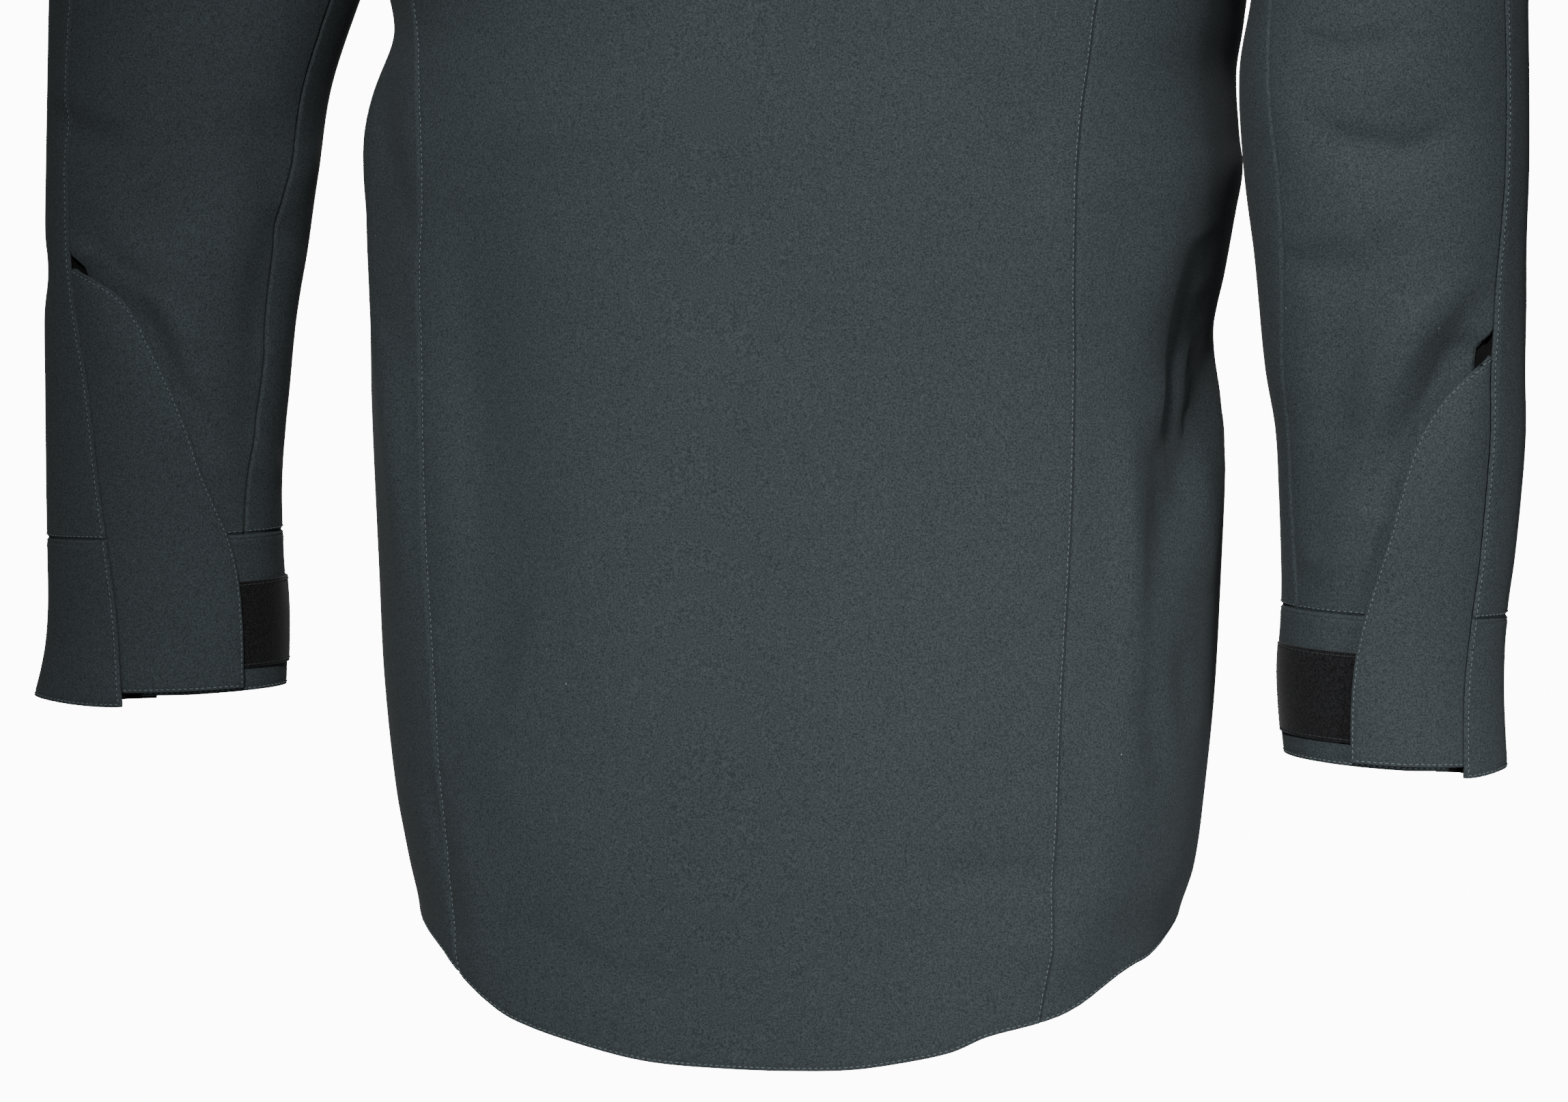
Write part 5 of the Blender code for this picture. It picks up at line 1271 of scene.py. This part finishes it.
def zip_tape(arm, seed):
    """The woven tape under a front edge, a little short of the hem and the collar's top.

    graded() is meant for more than twice its edge steps. On this narrow tape its middle
    columns run back, which turns the skins inward and makes the measured width too large.
    """
    side = side_of(arm)
    edge, beside, out = zip_way(arm)
    keep = slice(3, -4)
    edge, beside, out = edge[keep], beside[keep], out[keep]
    x = side * mix(ZIP_COLUMNS[0], ZIP_COLUMNS[-1], graded(TAPE_WIDTH, 0.0016))[None, :]
    share = (x - edge[:, :1]) / (beside[:, :1] - edge[:, :1])
    points = edge[:, None] + (beside - edge)[:, None] * share[..., None]
    points = points - out[:, None] * (CLOTH + SEAM + TAPE_CLEAR)
    points[..., 0] += side * np.abs(out[:, :1]) * (CLOTH + SEAM)
    name = "zip_tape_" + arm
    panel(name, points, BODY_MIDDLE, {}, WOVEN_TAPE, seed)


zip_tape("left", 12.1)
zip_tape("right", 13.7)

# Teeth: each a head that narrows to its tape, the two sides set half a pitch apart
TOOTH_PITCH = 0.0025
TOOTH = ((-0.0026, -0.00040), (-0.0010, -0.00045), (-0.0002, -0.00075), (0.0006, -0.00070),
         (0.0008, 0.0), (0.0006, 0.00070), (-0.0002, 0.00075), (-0.0010, 0.00045),
         (-0.0026, 0.00040))


def teeth_mesh():
    """All teeth as one mesh, from the hem up to the slider."""
    edge, _, out = zip_way("left")
    spine = edge * np.array((0.0, 1.0, 1.0))
    face = out * np.array((0.0, 1.0, 1.0))
    face = face / np.linalg.norm(face, axis=-1, keepdims=True)
    run = run_length(spine)
    last = float(np.interp(SLIDER_TOP - SLIDER_POST - TEETH_STOP, spine[:, 2], run))
    points, faces = [], []
    count = len(TOOTH)
    spots = np.arange(TEETH_START, last, TOOTH_PITCH / 2)
    for k, at in enumerate(spots):
        spot = np.array([np.interp(at, run, spine[:, c]) for c in range(3)])
        ahead = np.array([np.interp(at + 0.001, run, spine[:, c]) for c in range(3)])
        normal = np.array([np.interp(at, run, face[:, c]) for c in range(3)])
        way = (ahead - spot) / np.linalg.norm(ahead - spot)
        flip = 1.0 if k % 2 else -1.0
        base = len(points)
        for deep, size in ((CHAIN_DEPTH + CHAIN_THICK, 1.0), (CHAIN_DEPTH + TOOTH_BEVEL, 1.0),
                           (CHAIN_DEPTH, TOOTH_TOP)):
            for x, u in TOOTH:
                out_by = flip * (x if x < TOOTH_NECK else x * size)
                points.append(spot + np.array((out_by, 0.0, 0.0)) + way * (u * size)
                              - normal * deep)
        for layer in (0, 1):
            for a in range(count):
                b = (a + 1) % count
                low, high = base + layer * count, base + (layer + 1) * count
                quad = (low + a, low + b, high + b, high + a)
                faces.append(quad if flip > 0 else quad[::-1])
        floor_side = tuple(range(base, base + count))
        top_side = tuple(range(base + 2 * count, base + 3 * count))
        faces.append(floor_side[::-1] if flip > 0 else floor_side)
        faces.append(top_side if flip > 0 else top_side[::-1])
    mesh = bpy.data.meshes.new("zip_teeth")
    mesh.from_pydata([tuple(float(v) for v in p) for p in points], [], faces)
    mesh.validate()
    return mesh


def moulded(name, colour, rough, metal, wear):
    """Hard zip parts: an even finish with slow shade changes and fine scuffs."""
    made, nodes, links, shader = finish(name)
    place_at = nodes.new("ShaderNodeTexCoord")
    slow = node(nodes, "ShaderNodeTexNoise", Scale=160.0, Detail=3.0)
    fine = node(nodes, "ShaderNodeTexNoise", Scale=1400.0, Detail=2.0)
    for texture in (slow, fine):
        links.new(place_at.outputs["Object"], texture.inputs["Vector"])
    share = ranged(nodes, links, slow.outputs[0], 0.45, 0.70, 0.0, 1.0)
    pale = tuple(min(c * wear, 1.0) for c in colour) + (1.0,)
    links.new(blended(nodes, links, share, colour + (1.0,), pale), shader.inputs["Base Color"])
    links.new(ranged(nodes, links, fine.outputs[0], 0.3, 0.7, rough - 0.08, rough + 0.10),
              shader.inputs["Roughness"])
    bumps = node(nodes, "ShaderNodeBump", Strength=0.12, Distance=0.0002)
    links.new(fine.outputs[0], bumps.inputs["Height"])
    links.new(bumps.outputs[0], shader.inputs["Normal"])
    shader.inputs["Metallic"].default_value = metal
    return made


ZIP_PLASTIC = moulded("black_moulded_teeth", (0.013, 0.013, 0.014), 0.42, 0.0, 1.6)
ZIP_METAL = moulded("dark_zip_metal", (0.105, 0.107, 0.110), 0.36, 1.0, 1.9)
teeth = bpy.data.objects.new("zip_teeth", teeth_mesh())
teeth.data.materials.append(ZIP_PLASTIC)
bpy.context.scene.collection.objects.link(teeth)
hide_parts("zip_chain")
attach(teeth, "garment")
for name in ("zip_slider", "zip_pull"):
    part = bpy.data.objects[name]
    part.data.materials.clear()
    part.data.materials.append(ZIP_METAL)

# Studio: a main lamp behind and above, weaker ones round it, a white surround and a floor
def hang_lamp(name, data, strength, place_at, look_at):
    data.energy = strength
    lamp = bpy.data.objects.new(name, data)
    lamp.location = place_at
    lamp.rotation_euler = (Vector(place_at) - Vector(look_at)).to_track_quat("Z", "Y").to_euler()
    bpy.context.scene.collection.objects.link(lamp)


def soft_light(name, place_at, look_at, wide, tall, strength):
    data = bpy.data.lights.new(name, "AREA")
    data.shape = "RECTANGLE"
    data.size, data.size_y = wide, tall
    hang_lamp(name, data, strength, place_at, look_at)


def spot_light(name, place_at, look_at, cone, radius, strength):
    data = bpy.data.lights.new(name, "SPOT")
    data.spot_size = math.radians(cone)
    data.spot_blend = 1.0
    data.shadow_soft_size = radius
    hang_lamp(name, data, strength, place_at, look_at)


world = bpy.data.worlds.new("studio_air")
world.use_nodes = True
nodes, links = world.node_tree.nodes, world.node_tree.links
surround = nodes["Background"]
surround.inputs["Color"].default_value = (1.0, 1.0, 1.0, 1.0)
path = nodes.new("ShaderNodeLightPath")
links.new(ranged(nodes, links, path.outputs["Is Camera Ray"], 0.0, 1.0, 0.05, 12.0),
          surround.inputs["Strength"])
bpy.context.scene.world = world
aim = (0.0, 0.0, -0.45)
soft_light("fill", (2.3, 0.9, 0.10), (0.0, 0.0, -0.5), 0.6, 1.2, 3.5)
soft_light("key", (-2.2, 1.1, -0.80), (-0.2, 0.0, -0.68), 0.5, 0.8, 7.0)
soft_light("front_fill", (0.5, -3.2, 0.7), aim, 2.2, 2.2, 45.0)
soft_light("top", (-0.4, 1.6, 2.0), aim, 1.2, 1.2, 12.0)
spot_light("main", (-0.30, 2.75, 0.95), (-0.23, 0.10, -0.68), 36.0, 0.22, 490.0)
spot_light("cuff_side", (-2.0, 1.3, -1.0), (-0.32, 0.03, -0.76), 17.0, 0.20, 90.0)

floor_paint, nodes, links, shader = finish("pale_floor")
at = nodes.new("ShaderNodeTexCoord")
tone = node(nodes, "ShaderNodeTexNoise", Scale=0.8, Detail=2.0)
links.new(at.outputs["Object"], tone.inputs["Vector"])
links.new(blended(nodes, links, tone.outputs[0], (0.90, 0.90, 0.90, 1.0),
                  (0.94, 0.94, 0.94, 1.0)), shader.inputs["Base Color"])
shader.inputs["Roughness"].default_value = 0.9
FLOOR_RADIUS, FLOOR_THICK, FLOOR_MIDDLE = 2.4, 0.02, -1.46
bpy.ops.mesh.primitive_cylinder_add(vertices=128, radius=FLOOR_RADIUS, depth=FLOOR_THICK,
                                    location=(0.0, 0.0, FLOOR_MIDDLE))
floor = bpy.context.active_object
floor.name = "studio_floor"
bpy.ops.object.transform_apply(location=True, rotation=False, scale=False)
floor.data.materials.append(floor_paint)
